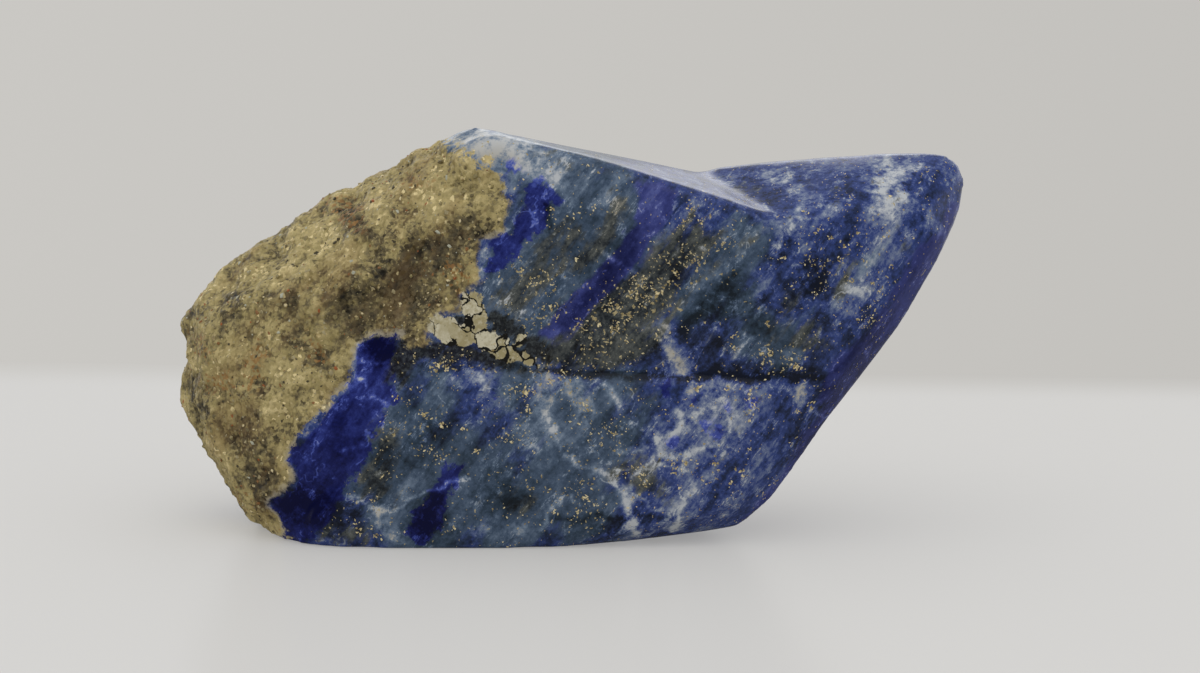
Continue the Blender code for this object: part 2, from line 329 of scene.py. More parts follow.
# Veins: half width in pixels, strength, and the points they run through
VEINS = [
    (1.9, 0.9, [(355, 374), (364, 382), (374, 396), (385, 408)]),
    (1.6, 0.5, [(363, 364), (380, 365), (394, 364)]),
    (1.5, 0.7, [(337, 454), (350, 450), (362, 444), (373, 438)]),
    (
        1.9, 0.8,
        [(352, 498), (365, 503), (376, 509), (390, 509), (407, 501), (422, 493), (442, 486), (463, 477)],
    ),
    (3.2, 0.8, [(376, 510), (378, 522), (384, 535), (400, 543)]),
    (
        2.2, 0.7,
        [(547, 420), (550, 432), (557, 444), (564, 455), (581, 465), (598, 470), (608, 475), (617, 484)],
    ),
    (3.2, 0.9, [(615, 482), (621, 495), (625, 511), (632, 522), (635, 536)]),
    (
        2.0, 0.6,
        [(612, 452), (633, 449), (644, 449), (660, 442), (667, 434), (682, 426), (686, 417), (679, 409)],
    ),
    (2.2, 0.6, [(694, 417), (713, 411), (732, 419), (744, 413)]),
    (
        2.2, 0.65,
        [
            (732, 419), (730, 432), (719, 444), (705, 444), (694, 453), (675, 457), (656, 457),
            (648, 463), (640, 469), (633, 474), (630, 488),
        ],
    ),
    (2.8, 0.7, [(682, 469), (694, 476), (694, 488), (686, 501), (682, 514), (673, 528)]),
    (2.2, 0.6, [(640, 500), (654, 509), (669, 509), (682, 512)]),
    (1.5, 0.7, [(613, 468), (640, 469), (664, 467), (676, 466)]),
    (1.6, 0.6, [(572, 492), (558, 503), (549, 516), (545, 530)]),
    (1.5, 0.6, [(565, 497), (560, 505)]),
    (1.5, 0.4, [(753, 216), (779, 225), (792, 215), (822, 215), (835, 217)]),
    (1.6, 0.5, [(764, 203), (774, 216), (779, 224)]),
    (1.5, 0.6, [(596, 246), (612, 256), (628, 267), (639, 274)]),
    (2.2, 0.6, [(656, 338), (668, 358), (676, 364), (700, 384)]),
    (1.7, 0.7, [(811, 406), (818, 411), (825, 417)]),
    (2.0, 0.6, [(602, 386), (611, 398), (619, 409)]),
    (1.7, 0.6, [(512, 404), (520, 415), (529, 421)]),
    (1.5, 0.5, [(526, 452), (534, 449), (541, 450)]),
    (2.2, 0.5, [(702, 246), (696, 258), (690, 268)]),
    (2.2, 0.5, [(752, 338), (738, 352), (722, 372)]),
]
# Black rock by the cracked patch
BLACK = [
    (12, 1.0, [(407, 346), (404, 376)]),
    (11, 1.0, [(420, 350), (446, 352), (480, 357), (506, 363)]),
    (9, 0.9, [(494, 320), (512, 328), (530, 342), (545, 356)]),
    (6, 0.9, [(492, 342), (498, 328)]),
    (6, 0.9, [(514, 352), (536, 352)]),
    (5, 1.0, [(461, 319), (470, 321)]),
    (6, 0.7, [(520, 368), (560, 371)]),
]
# The one large unbroken tile of the cracked patch
OVAL = [(6, 0.9, [(446, 329), (456, 332)])]
# Dark rock and painted shade in the hollows and at the foot, pale crystals and painted light on the
# lit shoulders, and rust, in the raw matrix
# Darker rock, partly painted shade in the hollow, under the shoulder, at the foot and the edges
DARK_AND_PAINTED_SHADE = [
    (20, 0.45, [(240, 440), (256, 480), (276, 510)]),
    (10, 0.6, [(344, 212), (358, 222)]),
    (14, 0.35, [(196, 344), (214, 326), (240, 300)]),
    (12, 0.5, [(420, 250), (450, 236)]),
    (30, 1.0, [(346, 306), (388, 290), (430, 262)]),
    (22, 0.8, [(398, 322), (430, 298)]),
    (16, 0.7, [(258, 452), (270, 492)]),
    (12, 0.6, [(356, 226), (371, 238)]),
    (12, 0.5, [(271, 296), (316, 318)]),
    (14, 0.6, [(462, 222), (490, 236)]),
    (12, 0.6, [(282, 300), (292, 296)]),
    (16, 0.5, [(196, 390), (206, 420)]),
    (16, 0.4, [(318, 352), (330, 336)]),
]
# Pale crystals, and painted light on the lit shoulder and the upper slope of the matrix
PALE_AND_PAINTED_LIGHT = [
    (20, 0.8, [(290, 272), (330, 262)]),
    (18, 0.5, [(412, 200), (460, 160), (494, 160)]),
    (7, 0.9, [(380, 215)]),
    (6, 0.9, [(316, 307)]),
    (7, 0.9, [(310, 330)]),
    (10, 0.7, [(202, 428), (222, 468)]),
    (8, 0.8, [(262, 375)]),
    (7, 0.8, [(184, 398), (212, 446), (240, 490), (262, 520), (285, 536)]),
    (16, 0.5, [(340, 250), (400, 235)]),
]
RUST = [
    (18, 0.8, [(338, 208), (352, 214)]),
    (14, 0.9, [(212, 383), (222, 384)]),
    (16, 0.7, [(455, 270), (462, 280)]),
    (12, 0.7, [(195, 341), (206, 350)]),
    (12, 0.6, [(407, 178), (432, 186)]),
    (14, 0.6, [(250, 385), (262, 350)]),
    (12, 0.5, [(240, 498), (250, 506)]),
    (14, 0.5, [(300, 340), (320, 350)]),
]
# Where pyrite dust is thick, besides a little everywhere
PYRITE = [
    (24, 1.0, [(590, 342), (618, 318), (650, 296), (684, 266)]),
    (14, 0.9, [(525, 274), (540, 282)]),
    (14, 0.8, [(550, 306), (534, 320)]),
    (12, 0.8, [(524, 392), (524, 410)]),
    (10, 0.8, [(430, 366), (458, 368)]),
    (12, 0.8, [(538, 374), (560, 380), (585, 408)]),
    (12, 0.8, [(508, 436), (492, 450)]),
    (14, 0.7, [(436, 453), (446, 450)]),
    (12, 0.6, [(422, 412), (418, 430)]),
    (12, 0.5, [(392, 398), (386, 440)]),
    (10, 0.9, [(686, 462), (676, 470)]),
    (10, 0.7, [(714, 462), (710, 480)]),
    (24, 0.5, [(840, 245), (820, 275)]),
    (14, 0.7, [(766, 360), (796, 364)]),
    (10, 0.7, [(752, 396), (752, 410)]),
    (16, 0.4, [(600, 450), (612, 434)]),
    (14, 0.5, [(640, 480), (632, 490)]),
    (20, 0.5, [(700, 225), (720, 240)]),
    (22, 0.4, [(560, 490), (580, 512)]),
    (16, 0.5, [(880, 280), (870, 320)]),
]

# Strong single specks of pyrite: place and breadth in pixels
SPECKS = [
    (658, 337, 5.5), (697, 388, 6.0), (810, 405, 6.5), (797, 411, 4.0), (659, 292, 7.0),
    (645, 279, 4.0), (676, 274, 5.0), (632, 296, 6.0), (620, 307, 5.0), (590, 338, 4.0),
    (444, 424, 5.5), (478, 453, 5.5), (422, 413, 5.0), (464, 428, 4.0), (533, 489, 3.5),
    (587, 497, 4.5), (577, 512, 3.5), (556, 512, 4.0), (533, 452, 3.0), (742, 470, 6.0),
    (763, 493, 5.0), (774, 481, 3.6), (686, 463, 5.5), (692, 405, 3.6), (749, 396, 5.0),
    (754, 405, 4.0), (749, 421, 3.6), (751, 449, 3.6), (715, 463, 4.5), (730, 484, 4.5),
    (646, 484, 4.5), (680, 488, 4.0), (642, 474, 3.5), (585, 499, 5.0), (602, 444, 3.4),
    (612, 434, 3.6), (765, 360, 7.0), (796, 366, 6.5), (770, 352, 5.0), (782, 258, 4.5),
    (845, 247, 4.5), (839, 259, 4.0), (830, 238, 3.6), (818, 230, 3.4), (890, 195, 4.5),
    (805, 212, 4.5), (852, 197, 3.4), (882, 236, 3.6), (891, 267, 3.6), (850, 280, 3.4),
    (873, 318, 4.0), (859, 320, 3.6), (766, 324, 4.5), (735, 335, 4.5), (733, 348, 4.5),
    (545, 273, 4.0), (530, 284, 3.6), (522, 270, 4.0), (551, 211, 4.5), (593, 207, 4.0),
    (576, 258, 3.6), (378, 536, 5.5), (360, 532, 4.5), (356, 523, 3.6), (453, 528, 4.0),
    (372, 500, 3.0), (395, 398, 5.0), (437, 368, 6.0), (448, 368, 5.0), (525, 392, 5.0),
    (527, 408, 4.5), (549, 382, 4.0), (588, 410, 4.5), (583, 403, 3.4), (791, 444, 3.4),
    (728, 388, 4.0), (700, 222, 4.5), (690, 206, 6.0), (552, 307, 5.0), (605, 351, 4.5),
    (626, 341, 4.5), (630, 318, 5.0), (641, 306, 4.5), (600, 324, 4.5), (614, 330, 4.0),
]

# Pieces of each strong speck, how far they lie apart and how broad they are for its breadth; number
# of fine specks, their breadth in pixels, and the size of their clusters in millimetres
SPECK_SEED = 5
CLUMP = 6
CLUMP_REACH = 0.42
CLUMP_BREADTH = (0.3, 0.7)
DUST_SPECKS = 11400
DUST_BREADTH = (0.89, 2.66)
DUST_CLUSTER = 2.4
GRAIN_SEED = 11

# Kinds of grain in the matrix: share of grains, and colour
GRAIN_COLOURS = [
    (0.34, "#8f835a"),
    (0.20, "#a39670"),
    (0.14, "#6f6444"),
    (0.10, "#4c4530"),
    (0.09, "#b9a878"),
    (0.05, "#8a6238"),
    (0.05, "#b0b09c"),
    (0.03, "#9c5a2c"),
]


def linear(code):
    """A colour from its sRGB hex code, as linear red, green, blue and alpha."""
    parts = [int(code[i : i + 2], 16) / 255.0 for i in (1, 3, 5)]
    channels = [c / 12.92 if c <= 0.04045 else ((c + 0.055) / 1.055) ** 2.4 for c in parts]
    return (*channels, 1.0)


def colour_setting(name, code, description):
    """A colour that a user can change, from its sRGB hex code."""
    return bpy.props.FloatVectorProperty(
        name=name,
        description=description,
        subtype="COLOR",
        size=4,
        min=0.0,
        max=1.0,
        default=linear(code),
    )


def length_setting(name, millimetres, description):
    """A length that a user can change."""
    return bpy.props.FloatProperty(
        name=name,
        description=description,
        subtype="DISTANCE",
        unit="LENGTH",
        default=millimetres * MM,
        min=0.0,
    )


class LapisStoneSettings(bpy.types.PropertyGroup):
    """Sizes of the stone's skin and grains."""

    skin: length_setting("Skin", 0.72, "Distance between the points of the skin")
    wear: bpy.props.IntProperty(
        name="Wear", description="Rounds of smoothing on the skin", default=5, min=0
    )
    lump: length_setting("Lump", 3.4, "Size of the matrix's lumps")
    lump_height: length_setting("Lump height", 0.48, "How far lumps stand out")
    coarse_grain: length_setting("Coarse grain", 1.5, "Size of the matrix's coarse grains")
    coarse_height: length_setting("Coarse height", 0.23, "How far coarse grains stand out")
    fine_grain: length_setting("Fine grain", 0.8, "Size of the matrix's fine grains")
    fine_height: length_setting("Fine height", 0.16, "How far fine grains stand out")
    loose_grains: bpy.props.IntProperty(
        name="Loose grains",
        description="Number of separate grains on the raw end",
        default=5200,
        min=0,
    )
    loose_size: length_setting("Loose size", 0.5, "Breadth of a separate grain")


class LapisColourSettings(bpy.types.PropertyGroup):
    """Colours of the stone's minerals."""

    blue_black: colour_setting("Blue-black", "#181d2c", "Blue rock, at its darkest")
    navy: colour_setting("Navy", "#273253", "Blue rock, dark")
    blue: colour_setting("Blue", "#394a86", "Blue rock, light")
    haze: colour_setting("Haze", "#76829f", "Blue rock under calcite")
    slate_black: colour_setting("Slate-black", "#1c252e", "Grey-blue rock, at its darkest")
    slate_dark: colour_setting("Dark slate", "#324152", "Grey-blue rock, dark")
    slate: colour_setting("Slate", "#4b5c73", "Grey-blue rock, light")
    slate_haze: colour_setting("Slate haze", "#74859a", "Grey-blue rock under calcite")
    olive_black: colour_setting("Olive-black", "#17181a", "Rock round the pyrite, at its darkest")
    olive_dark: colour_setting("Dark olive", "#2c3136", "Rock round the pyrite, dark")
    olive: colour_setting("Olive", "#4b4f4e", "Rock round the pyrite, light")
    olive_haze: colour_setting("Olive haze", "#686b67", "Rock round the pyrite, under calcite")
    indigo_dark: colour_setting("Dark indigo", "#22285a", "Violet-blue rock, dark")
    indigo: colour_setting("Indigo", "#3c4484", "Violet-blue rock, light")
    indigo_haze: colour_setting("Indigo haze", "#6670b0", "Violet-blue rock under calcite")
    royal_black: colour_setting("Royal black", "#080b36", "Pure lazurite, at its darkest")
    royal_dark: colour_setting("Dark royal", "#181f5c", "Pure lazurite, dark")
    royal: colour_setting("Royal", "#2b3680", "Pure lazurite, light")
    royal_haze: colour_setting("Royal haze", "#5263b8", "Pure lazurite under calcite")
    calcite: colour_setting("Calcite", "#c4c8cc", "White clouds and veins")
    calcite_warm: colour_setting("Warm calcite", "#b3ab98", "Beige clouds and veins")
    cream: colour_setting("Cream", "#d4cdb3", "The cracked patch of dull pyrite")
    cream_dark: colour_setting("Dark cream", "#a69a72", "Tiles of the cracked patch, dark")
    crack: colour_setting("Crack", "#1d1c19", "Cracks and black rock")
    matrix_black: colour_setting("Matrix black", "#2b271d", "Gaps between the raw grains")
    matrix_dark: colour_setting("Dark matrix", "#6a5f42", "Raw grains, dark")
    matrix: colour_setting("Matrix", "#ab9b66", "Raw grains, usual")
    matrix_light: colour_setting("Light matrix", "#c3b17a", "Raw grains, light")
    # The glint colour is a painted highlight, on the brightest grains and at the top of the matrix's
    # levels
    glint: colour_setting("Glint", "#f0dca2", "Raw grains, brightest")
    ochre: colour_setting("Ochre", "#8f7142", "Yellow-brown stain in the matrix")
    rust: colour_setting("Rust", "#a5743a", "Rusty grains")
    pyrite_dark: colour_setting("Dark pyrite", "#9a8552", "Pyrite in shade")
    pyrite: colour_setting("Pyrite", "#f4e4b4", "Pyrite in light")


class LapisStageSettings(bpy.types.PropertyGroup):
    """Floor, backdrop, light and camera."""

    floor: colour_setting("Floor", "#a8a7a5", "The table top")
    backdrop: colour_setting("Backdrop", "#c8c6c2", "What is behind the table")
    edge_distance: length_setting("Far edge", 111.0, "From the stone to the table's far edge")
    edge_angle: bpy.props.FloatProperty(
        name="Edge angle",
        description="How far the table's far edge is turned from the picture",
        subtype="ANGLE",
        unit="ROTATION",
        default=math.radians(-4.4),
    )
    light_power: bpy.props.FloatProperty(
        name="Light",
        description="Power of the soft light overhead",
        subtype="POWER",
        unit="POWER",
        default=0.7,
        min=0.0,
    )


def select_only(piece):
    """Leaves only this piece selected and active."""
    if bpy.context.object and bpy.context.object.mode != "OBJECT":
        bpy.ops.object.mode_set(mode="OBJECT")
    bpy.ops.object.select_all(action="DESELECT")
    piece.select_set(True)
    bpy.context.view_layer.objects.active = piece


def apply_modifier(piece, kind, **settings):
    """Adds a modifier with these settings and applies it."""
    select_only(piece)
    modifier = piece.modifiers.new(kind.lower(), kind)
    for name, value in settings.items():
        setattr(modifier, name, value)
    bpy.ops.object.modifier_apply(modifier=modifier.name)


def add_piece(name, points, faces):
    """A new piece at the origin from points in metres and faces."""
    mesh = bpy.data.meshes.new(name)
    mesh.from_pydata(points, [], faces)
    piece = bpy.data.objects.new(name, mesh)
    bpy.context.scene.collection.objects.link(piece)
    return piece


def places(mesh):
    """The points of a mesh, in millimetres."""
    found = np.empty(len(mesh.vertices) * 3, np.float32)
    mesh.vertices.foreach_get("co", found)
    return found.reshape(-1, 3).astype(float) / MM


def normals(mesh):
    """The normals at the points of a mesh."""
    found = np.empty(len(mesh.vertices) * 3, np.float32)
    mesh.vertices.foreach_get("normal", found)
    return found.reshape(-1, 3).astype(float)


def smooth_step(low, high, value):
    """0 at low, 1 at high, and an easy curve between them."""
    share = np.clip((value - low) / (high - low), 0.0, 1.0)
    return share * share * (3.0 - 2.0 * share)


def in_view(points):
    """Where points in millimetres lie in the front view: pixels right and down."""
    reach = points - VIEW_POINT
    depth = reach @ VIEW_FORWARD
    right = FRAME_WIDTH / 2 + VIEW_FOCAL * reach[:, 0] / depth
    down = FRAME_HEIGHT / 2 - VIEW_FOCAL * (reach @ VIEW_UP) / depth
    return np.stack([right, down], axis=1)


def turned_away(points, directions):
    """0 where the front view shows the surface, 1 where it faces away."""
    towards = VIEW_POINT - points
    towards /= np.linalg.norm(towards, axis=1)[:, None]
    return smooth_step(*TURNS_AWAY, np.sum(towards * directions, axis=1))


def marking_places(points, away):
    """Where each point takes its markings from, in the front view: a little astray everywhere."""
    noise.seed_set(WAVER_SEED)
    spots = in_view(points)
    for i, point in enumerate(points):
        for size, reach in WAVER:
            astray = noise.noise_vector(Vector(point) / size)
            spots[i, 0] += reach * astray.x
            spots[i, 1] += reach * astray.z
    for i in np.flatnonzero(away > 0.0):
        warp = noise.noise_vector(Vector(points[i]) / BACK_WARP_SIZE)
        spots[i, 0] += away[i] * (BACK_SHIFT[0] + BACK_WARP * warp.x)
        spots[i, 1] += away[i] * (BACK_SHIFT[1] + BACK_WARP * warp.z)
    return spots


def to_segment(spots, start, end):
    """Distance of each spot to the line between two points."""
    start = np.array(start, float)
    way = np.array(end, float) - start
    length = max(float(way @ way), 1e-9)
    share = np.clip((spots - start) @ way / length, 0.0, 1.0)
    return np.linalg.norm(spots - start - share[:, None] * way, axis=1)


def outline_depth(spots, outlines):
    """How deep each spot lies inside the nearest of these outlines, in millimetres."""
    deepest = np.full(len(spots), -1e9)
    for outline in outlines:
        nearest = np.full(len(spots), 1e9)
        inside = np.zeros(len(spots), bool)
        for start, end in zip(outline, outline[1:] + outline[:1]):
            nearest = np.minimum(nearest, to_segment(spots, start, end))
            crosses = (start[1] > spots[:, 1]) != (end[1] > spots[:, 1])
            rise = end[1] - start[1] if end[1] != start[1] else 1e-9
            at = start[0] + (spots[:, 1] - start[1]) / rise * (end[0] - start[0])
            inside ^= crosses & (spots[:, 0] < at)
        deepest = np.maximum(deepest, np.where(inside, nearest, -nearest))
    return deepest * PIXEL_MM


def stroke_share(spots, strokes):
    """How strongly the strokes cover each spot, from 0 to 1."""
    bare = np.ones(len(spots))
    for reach, strength, points in strokes:
        nearest = np.full(len(spots), 1e9)
        for start, end in zip(points, points[1:] or points):
            nearest = np.minimum(nearest, to_segment(spots, start, end))
        bare *= 1.0 - strength * np.exp(-((nearest / reach) ** 2))
    return 1.0 - bare


def matrix_depth(points, spots, away):
    """How deep each point lies in the raw matrix, in millimetres: behind, the bed tells it."""
    drawn = outline_depth(spots, [MATRIX_OUTLINE])
    bed = BED_FOOT_X + BED_SLOPE * points[:, 2] - points[:, 0]
    return drawn * (1.0 - away) + bed * away


def set_field(mesh, name, values):
    """Keeps one number for each point of a mesh, for the material."""
    field = mesh.attributes.new(name, "FLOAT", "POINT")
    field.data.foreach_set("value", np.asarray(values, np.float32))


def set_colour_field(mesh, name, colours):
    """Keeps one colour for each point of a mesh, for the material."""
    field = mesh.attributes.new(name, "FLOAT_COLOR", "POINT")
    field.data.foreach_set("color", np.asarray(colours, np.float32).ravel())


def grain_colour(share):
    """The colour of the grain whose share, 0 to 1, falls on it."""
    for part, code in GRAIN_COLOURS:
        share -= part
        if share <= 0.0:
            return linear(code)
    return linear(GRAIN_COLOURS[0][1])


def copy_node(name):
    """A new piece from the solid, with its loose triangles merged into one skin."""
    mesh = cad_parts[NODE].data.copy()
    mesh.name = name
    mesh.materials.clear()
    piece = bpy.data.objects.new(name, mesh)
    bpy.context.scene.collection.objects.link(piece)
    select_only(piece)
    bpy.ops.object.mode_set(mode="EDIT")
    bpy.ops.mesh.select_all(action="SELECT")
    bpy.ops.mesh.remove_doubles(threshold=WELD)
    bpy.ops.mesh.normals_make_consistent(inside=False)
    bpy.ops.object.mode_set(mode="OBJECT")
    return piece


def refine_front(piece):
    """Halves the faces that the front view shows, where the markings are set out."""
    mesh = piece.data
    wanted = turned_away(places(mesh), normals(mesh)) < FRONT_SHARE
    select_only(piece)
    bpy.ops.object.mode_set(mode="EDIT")
    bpy.ops.mesh.select_mode(type="FACE")
    bpy.ops.mesh.select_all(action="DESELECT")
    bpy.ops.object.mode_set(mode="OBJECT")
    chosen = [bool(all(wanted[v] for v in face.vertices)) for face in mesh.polygons]
    mesh.polygons.foreach_set("select", chosen)
    bpy.ops.object.mode_set(mode="EDIT")
    bpy.ops.mesh.subdivide(number_cuts=1)
    bpy.ops.object.mode_set(mode="OBJECT")


# Relief of the raw matrix: where it begins and is full inside the border, in millimetres, how a
# grain's dome and its own height make it up, where each pattern starts, and what the material is
# told of coarse grains, fine grains and lumps
MATRIX_STARTS = (-0.5, 1.2)
DOME_FALL = 1.6
DOME_SHARE = 0.7
HEIGHT_SHARE = 0.9
HEIGHT_MIDDLE = 0.75
OWN_SPREAD = 7.0
LUMP_GAIN = 2.0
COARSE_START = (3.0, 1.0, 2.0)
FINE_START = (0.0, 5.0, 9.0)
RELIEF_SHARES = (0.4, 0.4, 0.6)


def grain_relief(point, size, start):
    """Height, about -1 to 1, of the grain that holds a point."""
    distances, centres = noise.voronoi(Vector(point) / size + Vector(start))
    own = 0.5 + 0.5 * noise.cell(centres[0] * OWN_SPREAD)
    dome = 1.0 - DOME_FALL * distances[0] ** 2
    return DOME_SHARE * dome + HEIGHT_SHARE * own - HEIGHT_MIDDLE


def roughen_matrix(piece, settings):
    """Raises the grains of the raw matrix, and keeps their height for the material."""
    mesh = piece.data
    points = places(mesh)
    directions = normals(mesh)
    away = turned_away(points, directions)
    spots = marking_places(points, away)
    depth = matrix_depth(points, spots, away)
    relief = np.zeros(len(points))
    raw = smooth_step(*MATRIX_STARTS, depth)
    for i in np.flatnonzero(raw > 0.0):
        high = grain_relief(points[i], settings.coarse_grain / MM, COARSE_START)
        low = grain_relief(points[i], settings.fine_grain / MM, FINE_START)
        lump = noise.noise(Vector(points[i]) / (settings.lump / MM))
        lift = settings.coarse_height * high + settings.fine_height * low
        lift += settings.lump_height * LUMP_GAIN * lump
        relief[i] = np.dot(RELIEF_SHARES, (high, low, lump))
        points[i] += directions[i] * raw[i] * lift / MM
    points[:, 2] = np.maximum(points[:, 2], 0.0)
    mesh.vertices.foreach_set("co", (points * MM).astype(np.float32).ravel())
    mesh.update()
    set_field(mesh, "relief", relief)
    return spots, depth


# The fields that the skin keeps for its material: relief, depth in the matrix, depth inside other
# outlines, in millimetres, and the cover of each kind of stroke
OUTLINED = {"royal": ROYAL_OUTLINES, "indigo": INDIGO_OUTLINES, "cream": CREAM_OUTLINES}
STROKED = {
    "slate": SLATE,
    "olive": OLIVE,
    "deep": DEEP_AND_PAINTED_SHADE,
    "ledge": LEDGE_PAINTED_SHADE,
    "black": BLACK,
    "oval": OVAL,
    "milk": MILK,
    "calcite": CALCITE,
    "warm": WARM,
    "vein": VEINS,
    "pyrite": PYRITE,
    "dark_and_painted_shade": DARK_AND_PAINTED_SHADE,
    "pale": PALE_AND_PAINTED_LIGHT,
    "rust": RUST,
}
FIELDS = ("relief", "matrix", *OUTLINED, *STROKED)


def add_fields(piece, spots, depth):
    """Keeps every marking of the stone as a field on its skin."""
    set_field(piece.data, "matrix", depth)
    for name, outlines in OUTLINED.items():
        set_field(piece.data, name, outline_depth(spots, outlines))
    for name, strokes in STROKED.items():
        set_field(piece.data, name, stroke_share(spots, strokes))


def add(tree, kind, inputs, out=0, **settings):
    """Adds a node with its settings and links, and gives one of its outputs."""
    made = tree.nodes.new(kind)
    for name, value in settings.items():
        setattr(made, name, value)
    for key, value in inputs.items():
        if isinstance(value, bpy.types.NodeSocket):
            tree.links.new(value, made.inputs[key])
        else:
            made.inputs[key].default_value = value
    return made.outputs[out] if made.outputs else None


def new_material(name):
    """A material with an empty node tree, and its tree."""
    material = bpy.data.materials.new(name)
    material.use_nodes = True
    material.node_tree.nodes.clear()
    return material, material.node_tree


# Noise on the stone: name, grain in millimetres, detail, roughness, whether it follows the bedding
NOISES = [
    ("streak", 4.6, 7.0, 0.68, True),
    ("wisp", 1.7, 7.0, 0.70, True),
    ("mottle", 1.9, 7.0, 0.72, False),
    ("speckle", 0.6, 4.0, 0.72, False),
    ("blot", 6.0, 4.0, 0.55, False),
]
NOISE_GAIN = 6.0
BED_ANGLE = math.radians(52.0)
BED_STRETCH = (0.26, 0.5, 1.0)

# What makes a rock lighter or darker: the share of each noise, and of each kind of stroke, with how
# much a noise frays it, and which noise
NOISE_SHARES = {"mottle": 0.28, "streak": 0.26, "wisp": 0.30, "speckle": 0.20}
STROKE_SHARES = {
    "milk": (0.30, 0.16, "wisp"),
    "calcite": (0.52, 0.36, "mottle"),
    "vein": (0.60, 0.50, "mottle"),
    # the deep and ledge strokes darken the rock, partly as painted shade along the ledge and the lower
    # bevel
    "deep": (-0.50, 0.22, "mottle"),
    "ledge": (-0.55, 0.10, "speckle"),
}

# Fine pale threads: the noise whose middle each kind follows, and the noise that breaks it off
THREADS = (("blot", "wisp"), ("streak", "mottle"))
THREAD_LIFT = 0.42
THREAD_WIDTH = 0.1
THREAD_FRAY = 0.06
THREAD_BREAK = (0.0, 0.6)

# Rocks of the polished stone, from the bottom up: field, noise and amount that fray its edge, the
# field's values at that edge, and its middle lightness and spread
ROCKS = [
    (None, None, 0.0, None, 0.475, 0.70),
    ("slate", "streak", 0.42, (0.25, 0.70), 0.49, 0.50),
    ("olive", "wisp", 0.42, (0.35, 0.80), 0.45, 0.80),
    ("indigo", "wisp", 0.70, (-0.60, 0.40), 0.48, 0.29),
    ("royal", "mottle", 0.90, (-0.20, 0.35), 0.36, 0.54),
]
ROCK_COLOURS = {
    None: ("blue_black", "navy", "blue", "haze"),
    "slate": ("slate_black", "slate_dark", "slate", "slate_haze"),
    "olive": ("olive_black", "olive_dark", "olive", "olive_haze"),
    "indigo": ("royal_black", "indigo_dark", "indigo", "indigo_haze"),
    "royal": ("royal_black", "royal_dark", "royal", "royal_haze"),
}
ROCK_LEVELS = (0.0, 0.28, 0.55, 0.86, 1.3)
WARM_SHARE = 0.9

# Black rock round the cracked patch: how a noise frays it, where it is full, and its olive spots
BLACK_FRAY = 0.5
BLACK_EDGE = (0.3, 0.8)
BLACK_FULL = 0.92
BLACK_SPOTS = (-0.3, 1.2)

# Pyrite dust: grain in millimetres, how it gathers in patches and strokes, and where a grain ends
DUST_GRAIN = 0.42
DUST_PATCHES = 0.035
DUST_GATHER = 0.115
DUST_EDGE = (0.715, 0.755)
DUST_METAL = 0.4

# The cracked patch: size of a tile, in millimetres; size, detail and reach of its cracks' bends;
# what widens and closes them; shades of the tiles; how a noise frays the patch's edge
TILE_SIZE = 2.0
TILE_BENDS = (1.8182, 3.0, 3.0)
GAP_BLACK = -0.13
GAP_FRAY = 0.03
GAP_OVAL = 0.3
GAP_EDGE = (0.03, 0.065)
TILE_SPOTS = 0.5
OVAL_SHADE = 0.3
CREAM_FRAY = 0.45
CREAM_EDGE = (-0.1, 0.05)

# The raw matrix: its grains, in millimetres, and their shades; size, detail and reach of their
# bends; what else makes it lighter or darker, with painted light and shade; stains and painted glints on
# it; how its edge is frayed
CELL_SIZES = (0.85, 0.42)
CELL_SHADES = (0.24, 0.30)
CELL_MIDDLE = -0.27
CELL_BENDS = (0.5, 2.0, 0.5)
COARSENESS = (1.3, 0.45)
MATRIX_MIDDLE = 0.54
# Painted light and shade on the matrix: relief lightens raised grains and darkens the gaps, the dark
# strokes darken the hollows and the pale strokes lighten the lit shoulders
MATRIX_FIELD_SHARES = {"relief": 0.27, "dark_and_painted_shade": -0.44, "pale": 0.18}
MATRIX_NOISE_SHARES = {"mottle": 0.17, "speckle": 0.08, "blot": 0.16}
MATRIX_COLOURS = ("matrix_black", "matrix_dark", "matrix", "matrix_light", "glint")
MATRIX_LEVELS = (0.0, 0.3, 0.55, 0.8, 1.1)
OCHRE_EDGE = (-0.2, 0.9)
OCHRE_FULL = 0.38
RUST_SHARE = 0.7
RUST_EDGE = (0.97, 1.3)
RUST_FULL = 0.65
RIM_FRAY = 0.8
RIM_EDGE = (-1.1, -0.2)
RIM_FULL = 0.6
GLINT_PATCHES = 0.1
GLINT_DARK_AND_SHADE = -0.2
GLINT_EDGE = (0.95, 1.0)
MATRIX_FRAY = 0.7
MATRIX_FRAY_WARM = 1.8
MATRIX_EDGE = (-0.45, 0.45)

# Gloss: roughness of the polish from place to place, and of raw matrix
POLISH = (0.16, 0.24)
RAW_ROUGHNESS = 0.5
LAPIS_IOR = 1.5
LAPIS_SPECULAR = 0.4


def summed(tree, start, parts):
    """A start with parts added: each part is a value and how much of it is added."""
    total = start
    for value, share in parts:
        total = add(tree, "ShaderNodeMath", {0: value, 1: share, 2: total}, operation="MULTIPLY_ADD")
    return total


def between(value, low, high, least=0.0, most=1.0):
    """What a map range is told, to give least to most while a value runs from low to high."""
    return {"Value": value, "From Min": low, "From Max": high, "To Min": least, "To Max": most}


def layered(tree, colour, layers):
    """A colour with others laid over it: each layer is a mask and its colour."""
    for mask, over in layers:
        colour = add(tree, "ShaderNodeMix", {0: mask, 6: colour, 7: over}, 2, data_type="RGBA")
    return colour


def frayed(tree, value, noise_value, amount, edge, full=1.0):
    """A mask that rises from 0 to full as a value crosses an edge, which a noise frays."""
    value = summed(tree, value, [(noise_value, amount)])
    inputs = between(value, *edge, 0.0, full)
    return add(tree, "ShaderNodeMapRange", inputs, interpolation_type="SMOOTHSTEP")


